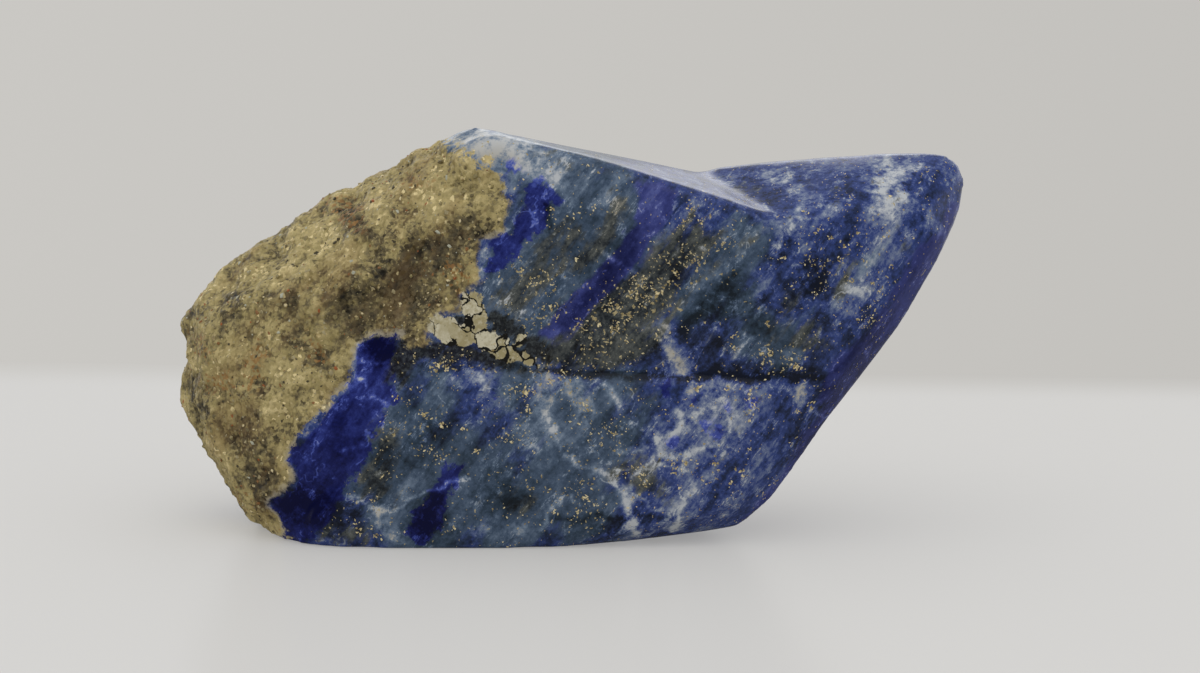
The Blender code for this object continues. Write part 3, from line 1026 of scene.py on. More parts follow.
def graded(tree, level, steps, stops):
    """A colour that runs through these stops as the level passes these steps."""
    colour = stops[0]
    for low, high, stop in zip(steps, steps[1:], stops[1:]):
        share = add(tree, "ShaderNodeMapRange", between(level, low, high))
        colour = layered(tree, colour, [(share, stop)])
    return colour


def bent_place(tree, place, bends):
    """The place in millimetres, led astray by a soft noise, so that cells get crooked sides."""
    size, detail, reach = bends
    inputs = {"Vector": place, "Scale": 1.0 / size, "Detail": detail}
    astray = add(tree, "ShaderNodeTexNoise", inputs, "Color")
    inputs = {0: astray, 1: (reach, reach, reach), 2: place}
    return add(tree, "ShaderNodeVectorMath", inputs, operation="MULTIPLY_ADD")


def stone_noises(tree, place):
    """The stone's noises, each about -1 to 1, some drawn out along its bedding."""
    inputs = {"Vector": place, "Rotation": (0.0, BED_ANGLE, 0.0)}
    turned = add(tree, "ShaderNodeMapping", inputs, vector_type="POINT")
    bedded = add(tree, "ShaderNodeVectorMath", {0: turned, 1: BED_STRETCH}, operation="MULTIPLY")
    noises = {}
    for name, grain, detail, rough, follows in NOISES:
        at = bedded if follows else place
        inputs = {"Vector": at, "Scale": 1.0 / grain, "Detail": detail, "Roughness": rough}
        spread = add(tree, "ShaderNodeTexNoise", inputs, "Fac")
        noises[name] = summed(tree, -NOISE_GAIN / 2, [(spread, NOISE_GAIN)])
    return noises


def drawn_lightness(tree, noises, fields):
    """How much lighter or darker the strokes and the fine threads make the polished rocks."""
    drawn = 0.0
    for name, (share, fray, breaker) in STROKE_SHARES.items():
        part = summed(tree, share, [(noises[breaker], fray)])
        drawn = summed(tree, drawn, [(fields[name], part)])
    for winding, breaker in THREADS:
        thread = add(tree, "ShaderNodeMath", {0: noises[winding]}, operation="ABSOLUTE")
        thread = summed(tree, thread, [(noises["speckle"], THREAD_FRAY)])
        inputs = between(thread, 0.0, THREAD_WIDTH, THREAD_LIFT, 0.0)
        thread = add(tree, "ShaderNodeMapRange", inputs, interpolation_type="SMOOTHSTEP")
        inputs = between(noises[breaker], *THREAD_BREAK)
        broken = add(tree, "ShaderNodeMapRange", inputs, interpolation_type="SMOOTHSTEP")
        drawn = summed(tree, drawn, [(thread, broken)])
    return drawn


def polished_rock(tree, colours, noises, fields):
    """The colour of the polished rocks, one over the other, and the mask of each."""
    own = summed(tree, 0.0, [(noises[name], share) for name, share in NOISE_SHARES.items()])
    drawn = drawn_lightness(tree, noises, fields)
    warm = add(tree, "ShaderNodeMath", {0: fields["warm"], 1: WARM_SHARE}, operation="MULTIPLY")
    calcite = layered(tree, colours.calcite, [(warm, colours.calcite_warm)])
    colour, masks = None, {}
    for field, breaker, amount, edge, middle, spread in ROCKS:
        level = summed(tree, middle, [(own, spread)])
        level = add(tree, "ShaderNodeMath", {0: level, 1: drawn}, operation="ADD")
        stops = [getattr(colours, name) for name in ROCK_COLOURS[field]] + [calcite]
        rock = graded(tree, level, ROCK_LEVELS, stops)
        if field is None:
            colour = rock
            continue
        masks[field] = frayed(tree, fields[field], noises[breaker], amount, edge)
        colour = layered(tree, colour, [(masks[field], rock)])
    black = frayed(tree, fields["black"], noises["wisp"], BLACK_FRAY, BLACK_EDGE, BLACK_FULL)
    spots = add(tree, "ShaderNodeMapRange", between(noises["speckle"], *BLACK_SPOTS))
    rock = layered(tree, colours.crack, [(spots, colours.olive)])
    return layered(tree, colour, [(black, rock)]), masks


def pyrite_dust(tree, place, noises, fields, allowed):
    """A mask of small ragged grains of pyrite, more of them where the strokes gather them."""
    inputs = {"Vector": place, "Scale": 1.0 / DUST_GRAIN, "Detail": 1.0, "Roughness": 0.5}
    dust = add(tree, "ShaderNodeTexNoise", inputs, "Fac")
    dust = summed(tree, dust, [(noises["wisp"], DUST_PATCHES), (fields["pyrite"], DUST_GATHER)])
    inputs = between(dust, *DUST_EDGE)
    dust = add(tree, "ShaderNodeMapRange", inputs, interpolation_type="SMOOTHSTEP")
    return add(tree, "ShaderNodeMath", {0: dust, 1: allowed}, operation="MULTIPLY")


def cracked_patch(tree, place, colours, noises, fields):
    """The cracked patch's colour, cream tiles between black cracks, and its mask."""
    bent = bent_place(tree, place, TILE_BENDS)
    cells = {"Vector": bent, "Scale": 1.0 / TILE_SIZE}
    gap = add(tree, "ShaderNodeTexVoronoi", cells, "Distance", feature="DISTANCE_TO_EDGE")
    wider = [(fields["black"], GAP_BLACK), (noises["speckle"], GAP_FRAY), (fields["oval"], GAP_OVAL)]
    gap = summed(tree, gap, wider)
    inputs = between(gap, *GAP_EDGE)
    tile = add(tree, "ShaderNodeMapRange", inputs, interpolation_type="SMOOTHSTEP")
    shade = add(tree, "ShaderNodeTexVoronoi", cells, "Color")
    shade = add(tree, "ShaderNodeSeparateColor", {0: shade}, 0)
    shade = summed(tree, shade, [(noises["speckle"], TILE_SPOTS)])
    inputs = {0: fields["oval"], 2: shade, 3: OVAL_SHADE}
    shade = add(tree, "ShaderNodeMix", inputs, data_type="FLOAT")
    cream = layered(tree, colours.cream_dark, [(shade, colours.cream)])
    cream = layered(tree, colours.crack, [(tile, cream)])
    return cream, frayed(tree, fields["cream"], noises["mottle"], CREAM_FRAY, CREAM_EDGE)


def raw_matrix(tree, place, colours, noises, fields):
    """The raw matrix's colour, grain by grain, and the random vector of each fine grain."""
    bent = bent_place(tree, place, CELL_BENDS)
    cells, shades = [], []
    for size, share in zip(CELL_SIZES, CELL_SHADES):
        cells.append(add(tree, "ShaderNodeTexVoronoi", {"Vector": bent, "Scale": 1.0 / size}, "Color"))
        shades.append((add(tree, "ShaderNodeSeparateColor", {0: cells[-1]}, 0), share))
    kind = add(tree, "ShaderNodeSeparateColor", {0: cells[-1]}, 1)
    level = summed(tree, CELL_MIDDLE, shades)
    coarse = add(tree, "ShaderNodeMapRange", between(noises["blot"], -1.0, 1.0, *COARSENESS))
    level = summed(tree, MATRIX_MIDDLE, [(level, coarse)])
    # painted light and shade from relief and strokes, with the rock's own dark and pale tones
    parts = [(fields[name], share) for name, share in MATRIX_FIELD_SHARES.items()]
    parts += [(noises[name], share) for name, share in MATRIX_NOISE_SHARES.items()]
    level = summed(tree, level, parts)
    matrix = graded(tree, level, MATRIX_LEVELS, [getattr(colours, name) for name in MATRIX_COLOURS])
    inputs = between(noises["streak"], *OCHRE_EDGE, 0.0, OCHRE_FULL)
    ochre = add(tree, "ShaderNodeMapRange", inputs, interpolation_type="SMOOTHSTEP")
    rust = frayed(tree, kind, fields["rust"], RUST_SHARE, RUST_EDGE, RUST_FULL)
    rim = frayed(tree, fields["royal"], noises["mottle"], RIM_FRAY, RIM_EDGE, RIM_FULL)
    # painted glints: the brightest grains take a glint's colour, fewer where the matrix is dark and
    # shaded
    glint = summed(tree, kind, [(noises["blot"], GLINT_PATCHES), (fields["dark_and_painted_shade"], GLINT_DARK_AND_SHADE)])
    glint = add(tree, "ShaderNodeMapRange", between(glint, *GLINT_EDGE))
    stains = [(ochre, colours.ochre), (rust, colours.rust), (rim, colours.calcite_warm)]
    return layered(tree, matrix, [*stains, (glint, colours.glint)]), cells[-1]


def lapis_material(colours):
    """Lapis lazuli, ground and polished on most sides and left raw at one end.

    Lazurite is glassy and deep blue, calcite is white and a little duller, and pyrite is metal.
    The raw matrix is a dull olive-brown sandstone of grains.
    """
    material, tree = new_material("polished_lapis_lazuli")
    place = add(tree, "ShaderNodeTexCoord", {}, "Object")
    place = add(tree, "ShaderNodeVectorMath", {0: place, 3: 1.0 / MM}, operation="SCALE")
    noises = stone_noises(tree, place)
    fields = {}
    for name in FIELDS:
        fields[name] = add(tree, "ShaderNodeAttribute", {}, "Fac", attribute_name=name)

    colour, masks = polished_rock(tree, colours, noises, fields)
    not_royal = add(tree, "ShaderNodeMath", {0: 1.0, 1: masks["royal"]}, operation="SUBTRACT")
    dust = pyrite_dust(tree, place, noises, fields, not_royal)
    shade = add(tree, "ShaderNodeMapRange", between(noises["speckle"], -1.0, 1.0))
    gold = layered(tree, colours.pyrite_dark, [(shade, colours.pyrite)])
    cream, cracked = cracked_patch(tree, place, colours, noises, fields)
    matrix, grains = raw_matrix(tree, place, colours, noises, fields)
    fray = summed(tree, MATRIX_FRAY, [(fields["warm"], MATRIX_FRAY_WARM)])
    raw = frayed(tree, fields["matrix"], noises["mottle"], fray, MATRIX_EDGE)
    raw = add(tree, "ShaderNodeMath", {0: raw, 1: not_royal}, operation="MULTIPLY")
    colour = layered(tree, colour, [(dust, gold), (raw, matrix), (cracked, cream)])

    # polished stone is glassy, matrix is dull, and its grains face all ways
    rough = add(tree, "ShaderNodeMapRange", between(noises["blot"], -1.0, 1.0, *POLISH))
    rough = add(tree, "ShaderNodeMix", {0: raw, 2: rough, 3: RAW_ROUGHNESS}, data_type="FLOAT")
    tilt = add(tree, "ShaderNodeVectorMath", {0: grains, 1: (0.5, 0.5, 0.5)}, operation="SUBTRACT")
    tilt = add(tree, "ShaderNodeVectorMath", {0: tilt, 3: raw}, operation="SCALE")
    upright = add(tree, "ShaderNodeNewGeometry", {}, "Normal")
    tilted = add(tree, "ShaderNodeVectorMath", {0: tilt, 1: upright}, operation="ADD")
    tilted = add(tree, "ShaderNodeVectorMath", {0: tilted}, operation="NORMALIZE")
    metal = add(tree, "ShaderNodeMath", {0: dust, 1: DUST_METAL}, operation="MULTIPLY")
    inputs = {
        "Base Color": colour,
        "Roughness": rough,
        "Metallic": metal,
        "Normal": tilted,
        "IOR": LAPIS_IOR,
        "Specular IOR Level": LAPIS_SPECULAR,
    }
    shader = add(tree, "ShaderNodeBsdfPrincipled", inputs)
    add(tree, "ShaderNodeOutputMaterial", {"Surface": shader})
    return material


# Pyrite and loose grains: size in millimetres of their tints, and how dull and how metallic they are
PYRITE_TINT = 0.5
PYRITE_EDGE = (0.4, 0.6)
PYRITE_ROUGHNESS = 0.4
PYRITE_METAL = 0.15
GRAIN_TINT = 0.4
GRAIN_LIT = (0.7, 1.5)
GRAIN_ROUGHNESS = 0.42


def pyrite_material(colours):
    """Pyrite: pale brass-yellow metal, cut and polished with the stone, so some facets flash."""
    material, tree = new_material("polished_pyrite")
    place = add(tree, "ShaderNodeTexCoord", {}, "Object")
    inputs = {"Vector": place, "Scale": 1.0 / (PYRITE_TINT * MM), "Detail": 3.0}
    tint = add(tree, "ShaderNodeTexNoise", inputs, "Fac")
    share = add(tree, "ShaderNodeMapRange", between(tint, *PYRITE_EDGE))
    colour = layered(tree, colours.pyrite_dark, [(share, colours.pyrite)])
    inputs = {"Base Color": colour, "Roughness": PYRITE_ROUGHNESS, "Metallic": PYRITE_METAL}
    shader = add(tree, "ShaderNodeBsdfPrincipled", inputs)
    add(tree, "ShaderNodeOutputMaterial", {"Surface": shader})
    return material


def grain_material():
    """Broken grains of calcite, diopside and weathered pyrite: dull, each of its own colour."""
    material, tree = new_material("raw_mineral_grains")
    own = add(tree, "ShaderNodeAttribute", {}, "Color", attribute_name="grain_colour")
    place = add(tree, "ShaderNodeTexCoord", {}, "Object")
    inputs = {"Vector": place, "Scale": 1.0 / (GRAIN_TINT * MM), "Detail": 2.0}
    tint = add(tree, "ShaderNodeTexNoise", inputs, "Fac")
    lit = add(tree, "ShaderNodeMapRange", between(tint, 0.0, 1.0, *GRAIN_LIT))
    colour = add(tree, "ShaderNodeVectorMath", {0: own, 3: lit}, operation="SCALE")
    inputs = {"Base Color": colour, "Roughness": GRAIN_ROUGHNESS}
    shader = add(tree, "ShaderNodeBsdfPrincipled", inputs)
    add(tree, "ShaderNodeOutputMaterial", {"Surface": shader})
    return material


def finish_piece(piece, material):
    """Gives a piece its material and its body."""
    piece.data.materials.clear()
    piece.data.materials.append(material)
    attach(piece, BODY)


class LAPIS_OT_stone(bpy.types.Operator):
    """Make the stone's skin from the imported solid, with its grains and markings"""

    bl_idname = "lapis.stone"
    bl_label = "Stone"

    def execute(self, context):
        settings = context.scene.lapis_stone
        stone = copy_node("lapis_stone")
        apply_modifier(stone, "REMESH", mode="VOXEL", voxel_size=settings.skin)
        apply_modifier(stone, "SMOOTH", iterations=settings.wear)
        refine_front(stone)
        apply_modifier(stone, "SMOOTH", iterations=FRONT_WEAR)
        spots, depth = roughen_matrix(stone, settings)
        add_fields(stone, spots, depth)
        stone.data.shade_smooth()
        finish_piece(stone, lapis_material(context.scene.lapis_colours))
        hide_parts(NODE)
        return {"FINISHED"}


# Loose grains: proportions and seed of each shape, how far its corners stray, where grains lie by
# field and by height over the table in millimetres, tilt, sizes, share of pyrite, depth in the stone
GRAIN_SHAPES = [((1.0, 0.8, 0.7), 1), ((1.0, 0.65, 0.8), 2), ((0.9, 0.9, 0.6), 3), ((1.1, 0.7, 0.6), 4)]
GRAIN_RAGGED = 0.16
GRAINS_ON = (0.2, 1.5)
GRAINS_OFF = {"royal": (-0.4, 0.0), "cream": (-0.4, 0.2)}
GRAINS_ABOVE = (0.4, 1.2)
GRAIN_TILT = 0.35
GRAIN_SIZES = (0.5, 1.6, 3)
GRAIN_METAL = 0.12
GRAIN_SINK = 0.22


def grain_shape(sides, seed):
    """Points and faces of one broken grain, about 1 across."""
    bpy.ops.mesh.primitive_ico_sphere_add(subdivisions=1, radius=0.5)
    grain = bpy.context.object
    bpy.ops.object.mode_set(mode="EDIT")
    bpy.ops.mesh.select_all(action="SELECT")
    bpy.ops.transform.vertex_random(offset=GRAIN_RAGGED, seed=seed)
    bpy.ops.transform.resize(value=sides)
    bpy.ops.object.mode_set(mode="OBJECT")
    points = np.array([v.co for v in grain.data.vertices])
    faces = np.array([list(face.vertices) for face in grain.data.polygons])
    mesh = grain.data
    bpy.data.objects.remove(grain)
    bpy.data.meshes.remove(mesh)
    return points, faces


def scatter(name, shapes, spots, directions, sizes, turns, flat, sink, colours=None):
    """One piece made of many copies of a few shapes, each set on the skin."""
    all_points, all_faces, all_colours, first = [], [], [], 0
    for i, (spot, up, size, turn) in enumerate(zip(spots, directions, sizes, turns)):
        points, faces = shapes[i % len(shapes)]
        side = Vector(up).orthogonal().normalized()
        across = Vector(up).cross(side)
        along = side * math.cos(turn) + across * math.sin(turn)
        across = Vector(up).cross(along)
        axes = np.array([along, across, Vector(up) * flat])
        all_points.append(spot + (points @ axes) * size - np.array(up) * sink * size)
        all_faces.append(faces + first)
        first += len(points)
        if colours is not None:
            all_colours.append(np.tile(colours[i], (len(points), 1)))
    piece = add_piece(
        name, (np.concatenate(all_points) * MM).tolist(), np.concatenate(all_faces).tolist()
    )
    if colours is not None:
        set_colour_field(piece.data, "grain_colour", np.concatenate(all_colours))
    return piece


def skin_triangles(stone):
    """The skin's triangles, as corners in millimetres, areas and normals."""
    mesh = stone.data
    mesh.calc_loop_triangles()
    corners = np.empty(len(mesh.loop_triangles) * 3, np.int32)
    mesh.loop_triangles.foreach_get("vertices", corners)
    corners = corners.reshape(-1, 3)
    points = places(mesh)[corners]
    cross = np.cross(points[:, 1] - points[:, 0], points[:, 2] - points[:, 0])
    length = np.linalg.norm(cross, axis=1)
    return corners, points, length / 2, cross / np.maximum(length, 1e-9)[:, None]


def field_values(stone, name):
    """A field of the skin, one number for each point."""
    values = np.empty(len(stone.data.vertices), np.float32)
    stone.data.attributes[name].data.foreach_get("value", values)
    return values.astype(float)


def pick_places(stone, weight, count, chance):
    """Places and normals on the skin, more of them where the weight is high."""
    corners, points, areas, faces_up = skin_triangles(stone)
    share = areas * weight[corners].mean(axis=1)
    order = np.cumsum(share) / share.sum()
    chosen = np.searchsorted(order, chance.random(count))
    a, b = chance.random(count), chance.random(count)
    over = a + b > 1.0
    a[over], b[over] = 1.0 - a[over], 1.0 - b[over]
    corner = points[chosen]
    spots = (
        corner[:, 0]
        + a[:, None] * (corner[:, 1] - corner[:, 0])
        + b[:, None] * (corner[:, 2] - corner[:, 0])
    )
    return spots, faces_up[chosen]


class LAPIS_OT_grains(bpy.types.Operator):
    """Set loose mineral grains into the raw end of the stone"""

    bl_idname = "lapis.grains"
    bl_label = "Grains"

    def execute(self, context):
        settings = context.scene.lapis_stone
        stone = bpy.data.objects["lapis_stone"]
        chance = np.random.default_rng(GRAIN_SEED)
        weight = smooth_step(*GRAINS_ON, field_values(stone, "matrix"))
        for name, edge in GRAINS_OFF.items():
            weight *= 1.0 - smooth_step(*edge, field_values(stone, name))
        weight *= smooth_step(*GRAINS_ABOVE, places(stone.data)[:, 2])
        count = settings.loose_grains
        spots, up = pick_places(stone, weight, count, chance)
        up = up + chance.normal(0.0, GRAIN_TILT, up.shape)
        up /= np.linalg.norm(up, axis=1)[:, None]
        least, more, power = GRAIN_SIZES
        sizes = settings.loose_size / MM * (least + more * chance.random(count) ** power)
        turns = chance.uniform(0.0, 2.0 * math.pi, count)
        shapes = [grain_shape(sides, seed) for sides, seed in GRAIN_SHAPES]
        colours = [grain_colour(share) for share in chance.random(count)]
        metal = chance.random(count) < GRAIN_METAL
        for name, chosen, material in (
            ("matrix_grains", ~metal, grain_material()),
            ("pyrite_grains", metal, pyrite_material(context.scene.lapis_colours)),
        ):
            i = np.flatnonzero(chosen)
            own = [colours[k] for k in i]
            piece = scatter(name, shapes, spots[i], up[i], sizes[i], turns[i], 1.0, GRAIN_SINK, own)
            finish_piece(piece, material)
        return {"FINISHED"}


# Specks: breadth and length of a plate's rim, how its corners stray, how it widens and how high its
# rim stands, with the number of plates; how thick a speck is for its breadth
PLATE_SIDES = (1.3, 0.75)
PLATE_STRAY = 0.25
PLATE_REACH = (0.24, 0.6)
PLATE_FOOT = 1.1
PLATE_RIM = (0.7, 1.0)
PLATE_TOP = 1.1
PLATES = 9
SPECK_THICK = 0.05

# Where the fine specks lie: fields that keep them off, from where and how fully, their share away
# from the strokes that gather them, and the value of the clusters' noise from which they are kept
DUST_OFF = {"matrix": (-1.0, 0.0, 1.0), "royal": (-0.3, 0.2, 1.0), "indigo": (-0.5, 0.5, 0.9)}
DUST_SHARE = 0.12
DUST_KEPT = 0.12
DUST_POWER = 2.5


def plate_shape(sides, seed):
    """Points and faces of one flat broken plate, about 1 across."""
    chance = random.Random(seed)
    length, breadth = PLATE_SIDES
    rim = []
    for i in range(sides):
        angle = 2.0 * math.pi * (i + chance.uniform(-PLATE_STRAY, PLATE_STRAY)) / sides
        reach = chance.uniform(*PLATE_REACH)
        rim.append((length * reach * math.cos(angle), breadth * reach * math.sin(angle)))
    low = [(x * PLATE_FOOT, y * PLATE_FOOT, -1.0) for x, y in rim]
    high = [(x, y, chance.uniform(*PLATE_RIM)) for x, y in rim]
    points = np.array(low + high + [(0.0, 0.0, PLATE_TOP)])
    faces = []
    for i in range(sides):
        j = (i + 1) % sides
        faces.append((i, j, sides + j))
        faces.append((i, sides + j, sides + i))
        faces.append((sides + i, sides + j, 2 * sides))
    for i in range(1, sides - 1):
        faces.append((0, i + 1, i))
    return points, np.array(faces)


class LAPIS_OT_specks(bpy.types.Operator):
    """Set specks of pyrite flush into the polished stone"""

    bl_idname = "lapis.specks"
    bl_label = "Pyrite specks"

    def execute(self, context):
        stone = bpy.data.objects["lapis_stone"]
        chance = np.random.default_rng(SPECK_SEED)
        tree = BVHTree.FromObject(stone, bpy.context.evaluated_depsgraph_get())
        spots, up, sizes = [], [], []
        for right, down, breadth in SPECKS * CLUMP:
            right += chance.normal(0.0, CLUMP_REACH * breadth)
            down += chance.normal(0.0, CLUMP_REACH * breadth)
            way = (
                VIEW_FORWARD * VIEW_FOCAL
                + np.array([1.0, 0.0, 0.0]) * (right - FRAME_WIDTH / 2)
                - VIEW_UP * (down - FRAME_HEIGHT / 2)
            )
            hit, direction, _, _ = tree.ray_cast(Vector(VIEW_POINT * MM), Vector(way).normalized())
            if hit is None:
                raise RuntimeError(f"no stone at {right}, {down} for a speck of pyrite")
            spots.append(np.array(hit) / MM)
            up.append(np.array(direction))
            sizes.append(breadth * PIXEL_MM * chance.uniform(*CLUMP_BREADTH))
        weight = DUST_SHARE + field_values(stone, "pyrite")
        for name, (low, high, share) in DUST_OFF.items():
            weight *= 1.0 - share * smooth_step(low, high, field_values(stone, name))
        more, more_up = pick_places(stone, weight, DUST_SPECKS, chance)
        kept = [noise.noise(Vector(spot) / DUST_CLUSTER) > DUST_KEPT for spot in more]
        more, more_up = more[kept], more_up[kept]
        low, high = DUST_BREADTH
        more_sizes = PIXEL_MM * (low + (high - low) * chance.random(len(more)) ** DUST_POWER)
        spots = np.concatenate([np.array(spots), more])
        up = np.concatenate([np.array(up), more_up])
        sizes = np.concatenate([np.array(sizes), more_sizes])
        turns = chance.uniform(0.0, 2.0 * math.pi, len(spots))
        shapes = [plate_shape(5 + i % 4, i) for i in range(PLATES)]
        piece = scatter("pyrite_specks", shapes, spots, up, sizes, turns, SPECK_THICK, 0.0)
        finish_piece(piece, pyrite_material(context.scene.lapis_colours))
        return {"FINISHED"}


class LAPIS_OT_stage(bpy.types.Operator):
    """Make the table top, the backdrop, the soft light and the camera"""

    bl_idname = "lapis.stage"
    bl_label = "Stage"

    def execute(self, context):
        settings = context.scene.lapis_stage
        add_floor(settings)
        add_world(settings)
        add_light(settings)
        add_camera()
        return {"FINISHED"}


# The table, in metres, and how its surface looks: size of its faint clouds, in millimetres, and its
# gloss, with the colour that the stone mirrors and how it glows to the lens and to the stone
FLOOR_WIDTH = 2.4
FLOOR_FRONT = 0.9
FLOOR_THICK = 0.02
FLOOR_ROUND = 0.004
FLOOR_SEGMENTS = 6
FLOOR_HAZE = 0.024
FLOOR_CREASE = math.radians(30.0)
FLOOR_CLOUDS = 71.4286
FLOOR_ROUGHNESS = (0.2, 0.26)
FLOOR_SPECULAR = 0.008
FLOOR_IOR = 1.3
FLOOR_MIRRORED = "#50504e"
FLOOR_GLOW = (0.72, 0.1)

# The room: where the backdrop falls off from left to right, and how light comes from all round.
# Each row holds the axis, its values from and to, and the light at them
BACKDROP_FALL = (-0.12, 0.12, 1.02, 0.95)
ROOM_LIGHT = ("Z", 0.0, 0.8, 0.42, 0.95)
ROOM_MIRRORED = [("Y", -0.3, 0.6, 0.05, 1.6), ("Z", 0.0, 0.3, 0.3, 1.0), ("Z", 0.3, 0.5, 1.0, 0.15)]


def backdrop_colour(tree, across, settings):
    """The backdrop's colour, a little darker from left to right."""
    fall = add(tree, "ShaderNodeMapRange", between(across, *BACKDROP_FALL))
    inputs = {0: settings.backdrop[:3], 3: fall}
    return add(tree, "ShaderNodeVectorMath", inputs, operation="SCALE")


def floor_material(settings):
    """Glossy white acrylic, which melts into the backdrop far off."""
    material, tree = new_material("white_glossy_acrylic")
    place = add(tree, "ShaderNodeTexCoord", {}, "Object")
    inputs = {"Vector": place, "Scale": 1.0 / (FLOOR_CLOUDS * MM), "Detail": 3.0}
    haze = add(tree, "ShaderNodeTexNoise", inputs, "Fac")
    rough = add(tree, "ShaderNodeMapRange", between(haze, 0.0, 1.0, *FLOOR_ROUGHNESS))
    # the stone mirrors less of the table than a lens would see of it
    mirrored = add(tree, "ShaderNodeLightPath", {}, "Is Glossy Ray")
    colour = layered(tree, settings.floor, [(mirrored, linear(FLOOR_MIRRORED))])
    glow = add(tree, "ShaderNodeMapRange", between(mirrored, 0.0, 1.0, *FLOOR_GLOW))
    inputs = {
        "Base Color": colour,
        "Roughness": rough,
        "Specular IOR Level": FLOOR_SPECULAR,
        "IOR": FLOOR_IOR,
        "Emission Color": settings.floor,
        "Emission Strength": glow,
    }
    shader = add(tree, "ShaderNodeBsdfPrincipled", inputs)
    across = add(tree, "ShaderNodeSeparateXYZ", {0: place}, "X")
    away = add(tree, "ShaderNodeSeparateXYZ", {0: place}, "Y")
    away = summed(tree, away, [(across, -math.tan(settings.edge_angle))])
    edge = settings.edge_distance / math.cos(settings.edge_angle)
    inputs = between(away, edge - FLOOR_HAZE, edge)
    away = add(tree, "ShaderNodeMapRange", inputs, interpolation_type="SMOOTHSTEP")
    seen = add(tree, "ShaderNodeLightPath", {}, "Is Camera Ray")
    away = add(tree, "ShaderNodeMath", {0: away, 1: seen}, operation="MULTIPLY")
    inputs = {0: across, 1: 1.0 / (VIEW_DISTANCE * MM)}
    across = add(tree, "ShaderNodeMath", inputs, operation="MULTIPLY")
    far = add(tree, "ShaderNodeEmission", {"Color": backdrop_colour(tree, across, settings)})
    shader = add(tree, "ShaderNodeMixShader", {0: away, 1: shader, 2: far})
    add(tree, "ShaderNodeOutputMaterial", {"Surface": shader})
    return material


def add_floor(settings):
    """A glossy pale table top with a rounded far edge behind the stone."""
    bpy.ops.object.select_all(action="DESELECT")
    bpy.ops.mesh.primitive_cube_add(size=1.0)
    floor = bpy.context.object
    floor.name = "table_top"
    floor.data.name = "table_top"
    bpy.ops.object.mode_set(mode="EDIT")
    bpy.ops.mesh.select_all(action="SELECT")
    depth = FLOOR_FRONT + settings.edge_distance
    bpy.ops.transform.resize(value=(FLOOR_WIDTH, depth, FLOOR_THICK))
    middle = (settings.edge_distance - FLOOR_FRONT) / 2
    bpy.ops.transform.translate(value=(0.0, middle, -FLOOR_THICK / 2))
    turn = {"orient_axis": "Z", "center_override": (0.0, 0.0, 0.0)}
    bpy.ops.transform.rotate(value=-settings.edge_angle, **turn)
    bpy.ops.object.mode_set(mode="OBJECT")
    rounded = {"width": FLOOR_ROUND, "segments": FLOOR_SEGMENTS, "limit_method": "ANGLE"}
    apply_modifier(floor, "BEVEL", **rounded)
    floor.data.shade_smooth()
    floor.data.set_sharp_from_angle(angle=FLOOR_CREASE)
    floor.data.materials.append(floor_material(settings))


def add_world(settings):
    """Soft light from all round, and what the polished faces and the lens see of the room."""
    world = bpy.data.worlds.new("studio")
    bpy.context.scene.world = world
    world.use_nodes = True
    tree = world.node_tree
    tree.nodes.clear()
    way = add(tree, "ShaderNodeTexCoord", {}, "Generated")
    along = {}
    for axis in ("X", "Y", "Z"):
        along[axis] = add(tree, "ShaderNodeSeparateXYZ", {0: way}, axis)
    axis, *span = ROOM_LIGHT
    light = add(tree, "ShaderNodeMapRange", between(along[axis], *span))
    mirrored = 1.0
    for axis, *span in ROOM_MIRRORED:
        inputs = between(along[axis], *span)
        fall = add(tree, "ShaderNodeMapRange", inputs, interpolation_type="SMOOTHSTEP")
        mirrored = add(tree, "ShaderNodeMath", {0: mirrored, 1: fall}, operation="MULTIPLY")
    glossy = add(tree, "ShaderNodeLightPath", {}, "Is Glossy Ray")
    light = add(tree, "ShaderNodeMix", {0: glossy, 2: light, 3: mirrored}, data_type="FLOAT")
    light = add(tree, "ShaderNodeCombineColor", {0: light, 1: light, 2: light})
    behind = backdrop_colour(tree, along["X"], settings)
    seen = add(tree, "ShaderNodeLightPath", {}, "Is Camera Ray")
    colour = layered(tree, light, [(seen, behind)])
    shader = add(tree, "ShaderNodeBackground", {"Color": colour, "Strength": 1.0})
    add(tree, "ShaderNodeOutputWorld", {"Surface": shader})


# The soft light and the camera: places and sides in metres
LIGHT_PLACE = (-0.12, -0.22, 0.75)
LIGHT_SIDES = (0.9, 0.7)
LIGHT_AIM = (0.0, 0.0, 0.02)
CLIP = (0.05, 20.0)


def add_light(settings):
    """One large soft light overhead, a little in front of the stone."""
    light = bpy.data.lights.new("softbox", "AREA")
    light.shape = "RECTANGLE"
    light.size, light.size_y = LIGHT_SIDES
    light.energy = settings.light_power
    lamp = bpy.data.objects.new("softbox", light)
    bpy.context.scene.collection.objects.link(lamp)
    lamp.location = LIGHT_PLACE
    aim = Vector(LIGHT_AIM) - Vector(LIGHT_PLACE)
    lamp.rotation_mode = "QUATERNION"
    lamp.rotation_quaternion = aim.to_track_quat("-Z", "Y")


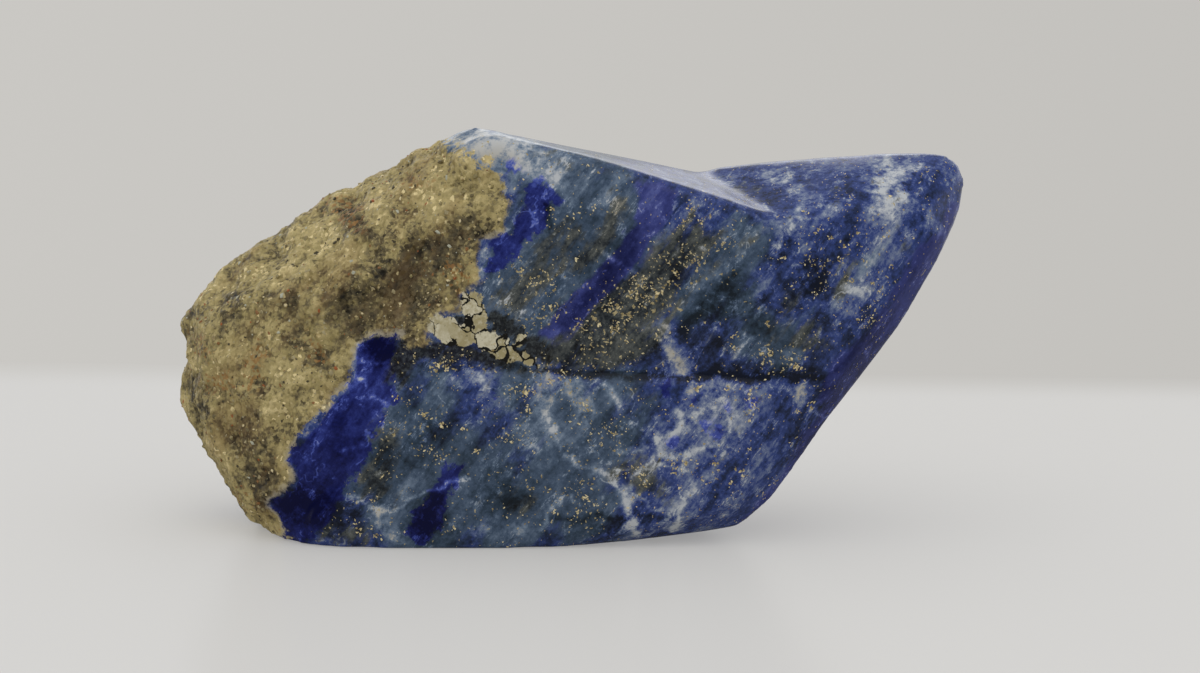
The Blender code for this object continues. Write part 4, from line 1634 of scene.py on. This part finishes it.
def add_camera():
    """The front view's camera."""
    data = bpy.data.cameras.new("front_view")
    camera = bpy.data.objects.new("front_view", data)
    bpy.context.scene.collection.objects.link(camera)
    data.sensor_width = SENSOR
    data.lens = SENSOR * VIEW_FOCAL / FRAME_WIDTH
    data.clip_start, data.clip_end = CLIP
    camera.location = Vector(VIEW_POINT * MM)
    camera.rotation_mode = "QUATERNION"
    camera.rotation_quaternion = Vector(VIEW_FORWARD).to_track_quat("-Z", "Y")
    bpy.context.scene.camera = camera
    bpy.context.scene.view_settings.view_transform = "Standard"


class LAPIS_PT_panel(bpy.types.Panel):
    """Sizes, colours and pieces of the lapis lazuli freeform"""

    bl_idname = "LAPIS_PT_panel"
    bl_label = "Lapis lazuli freeform"
    bl_space_type = "VIEW_3D"
    bl_region_type = "UI"
    bl_category = "Lapis"

    def draw(self, context):
        layout = self.layout
        for group in SETTINGS:
            box = layout.box()
            held = getattr(context.scene, group)
            for name in held.bl_rna.properties.keys():
                if name not in ("rna_type", "name"):
                    box.prop(held, name)
        for operator in PIECES:
            layout.operator(operator.bl_idname)


SETTINGS = {
    "lapis_stone": LapisStoneSettings,
    "lapis_colours": LapisColourSettings,
    "lapis_stage": LapisStageSettings,
}
PIECES = (LAPIS_OT_stone, LAPIS_OT_grains, LAPIS_OT_specks, LAPIS_OT_stage)


def register():
    for group, kind in SETTINGS.items():
        bpy.utils.register_class(kind)
        setattr(bpy.types.Scene, group, bpy.props.PointerProperty(type=kind))
    for operator in PIECES:
        bpy.utils.register_class(operator)
    bpy.utils.register_class(LAPIS_PT_panel)


def unregister():
    bpy.utils.unregister_class(LAPIS_PT_panel)
    for operator in reversed(PIECES):
        bpy.utils.unregister_class(operator)
    for group, kind in SETTINGS.items():
        delattr(bpy.types.Scene, group)
        bpy.utils.unregister_class(kind)


def main():
    register()
    bpy.ops.lapis.stone()
    bpy.ops.lapis.grains()
    bpy.ops.lapis.specks()
    bpy.ops.lapis.stage()


if __name__ == "__main__":
    main()
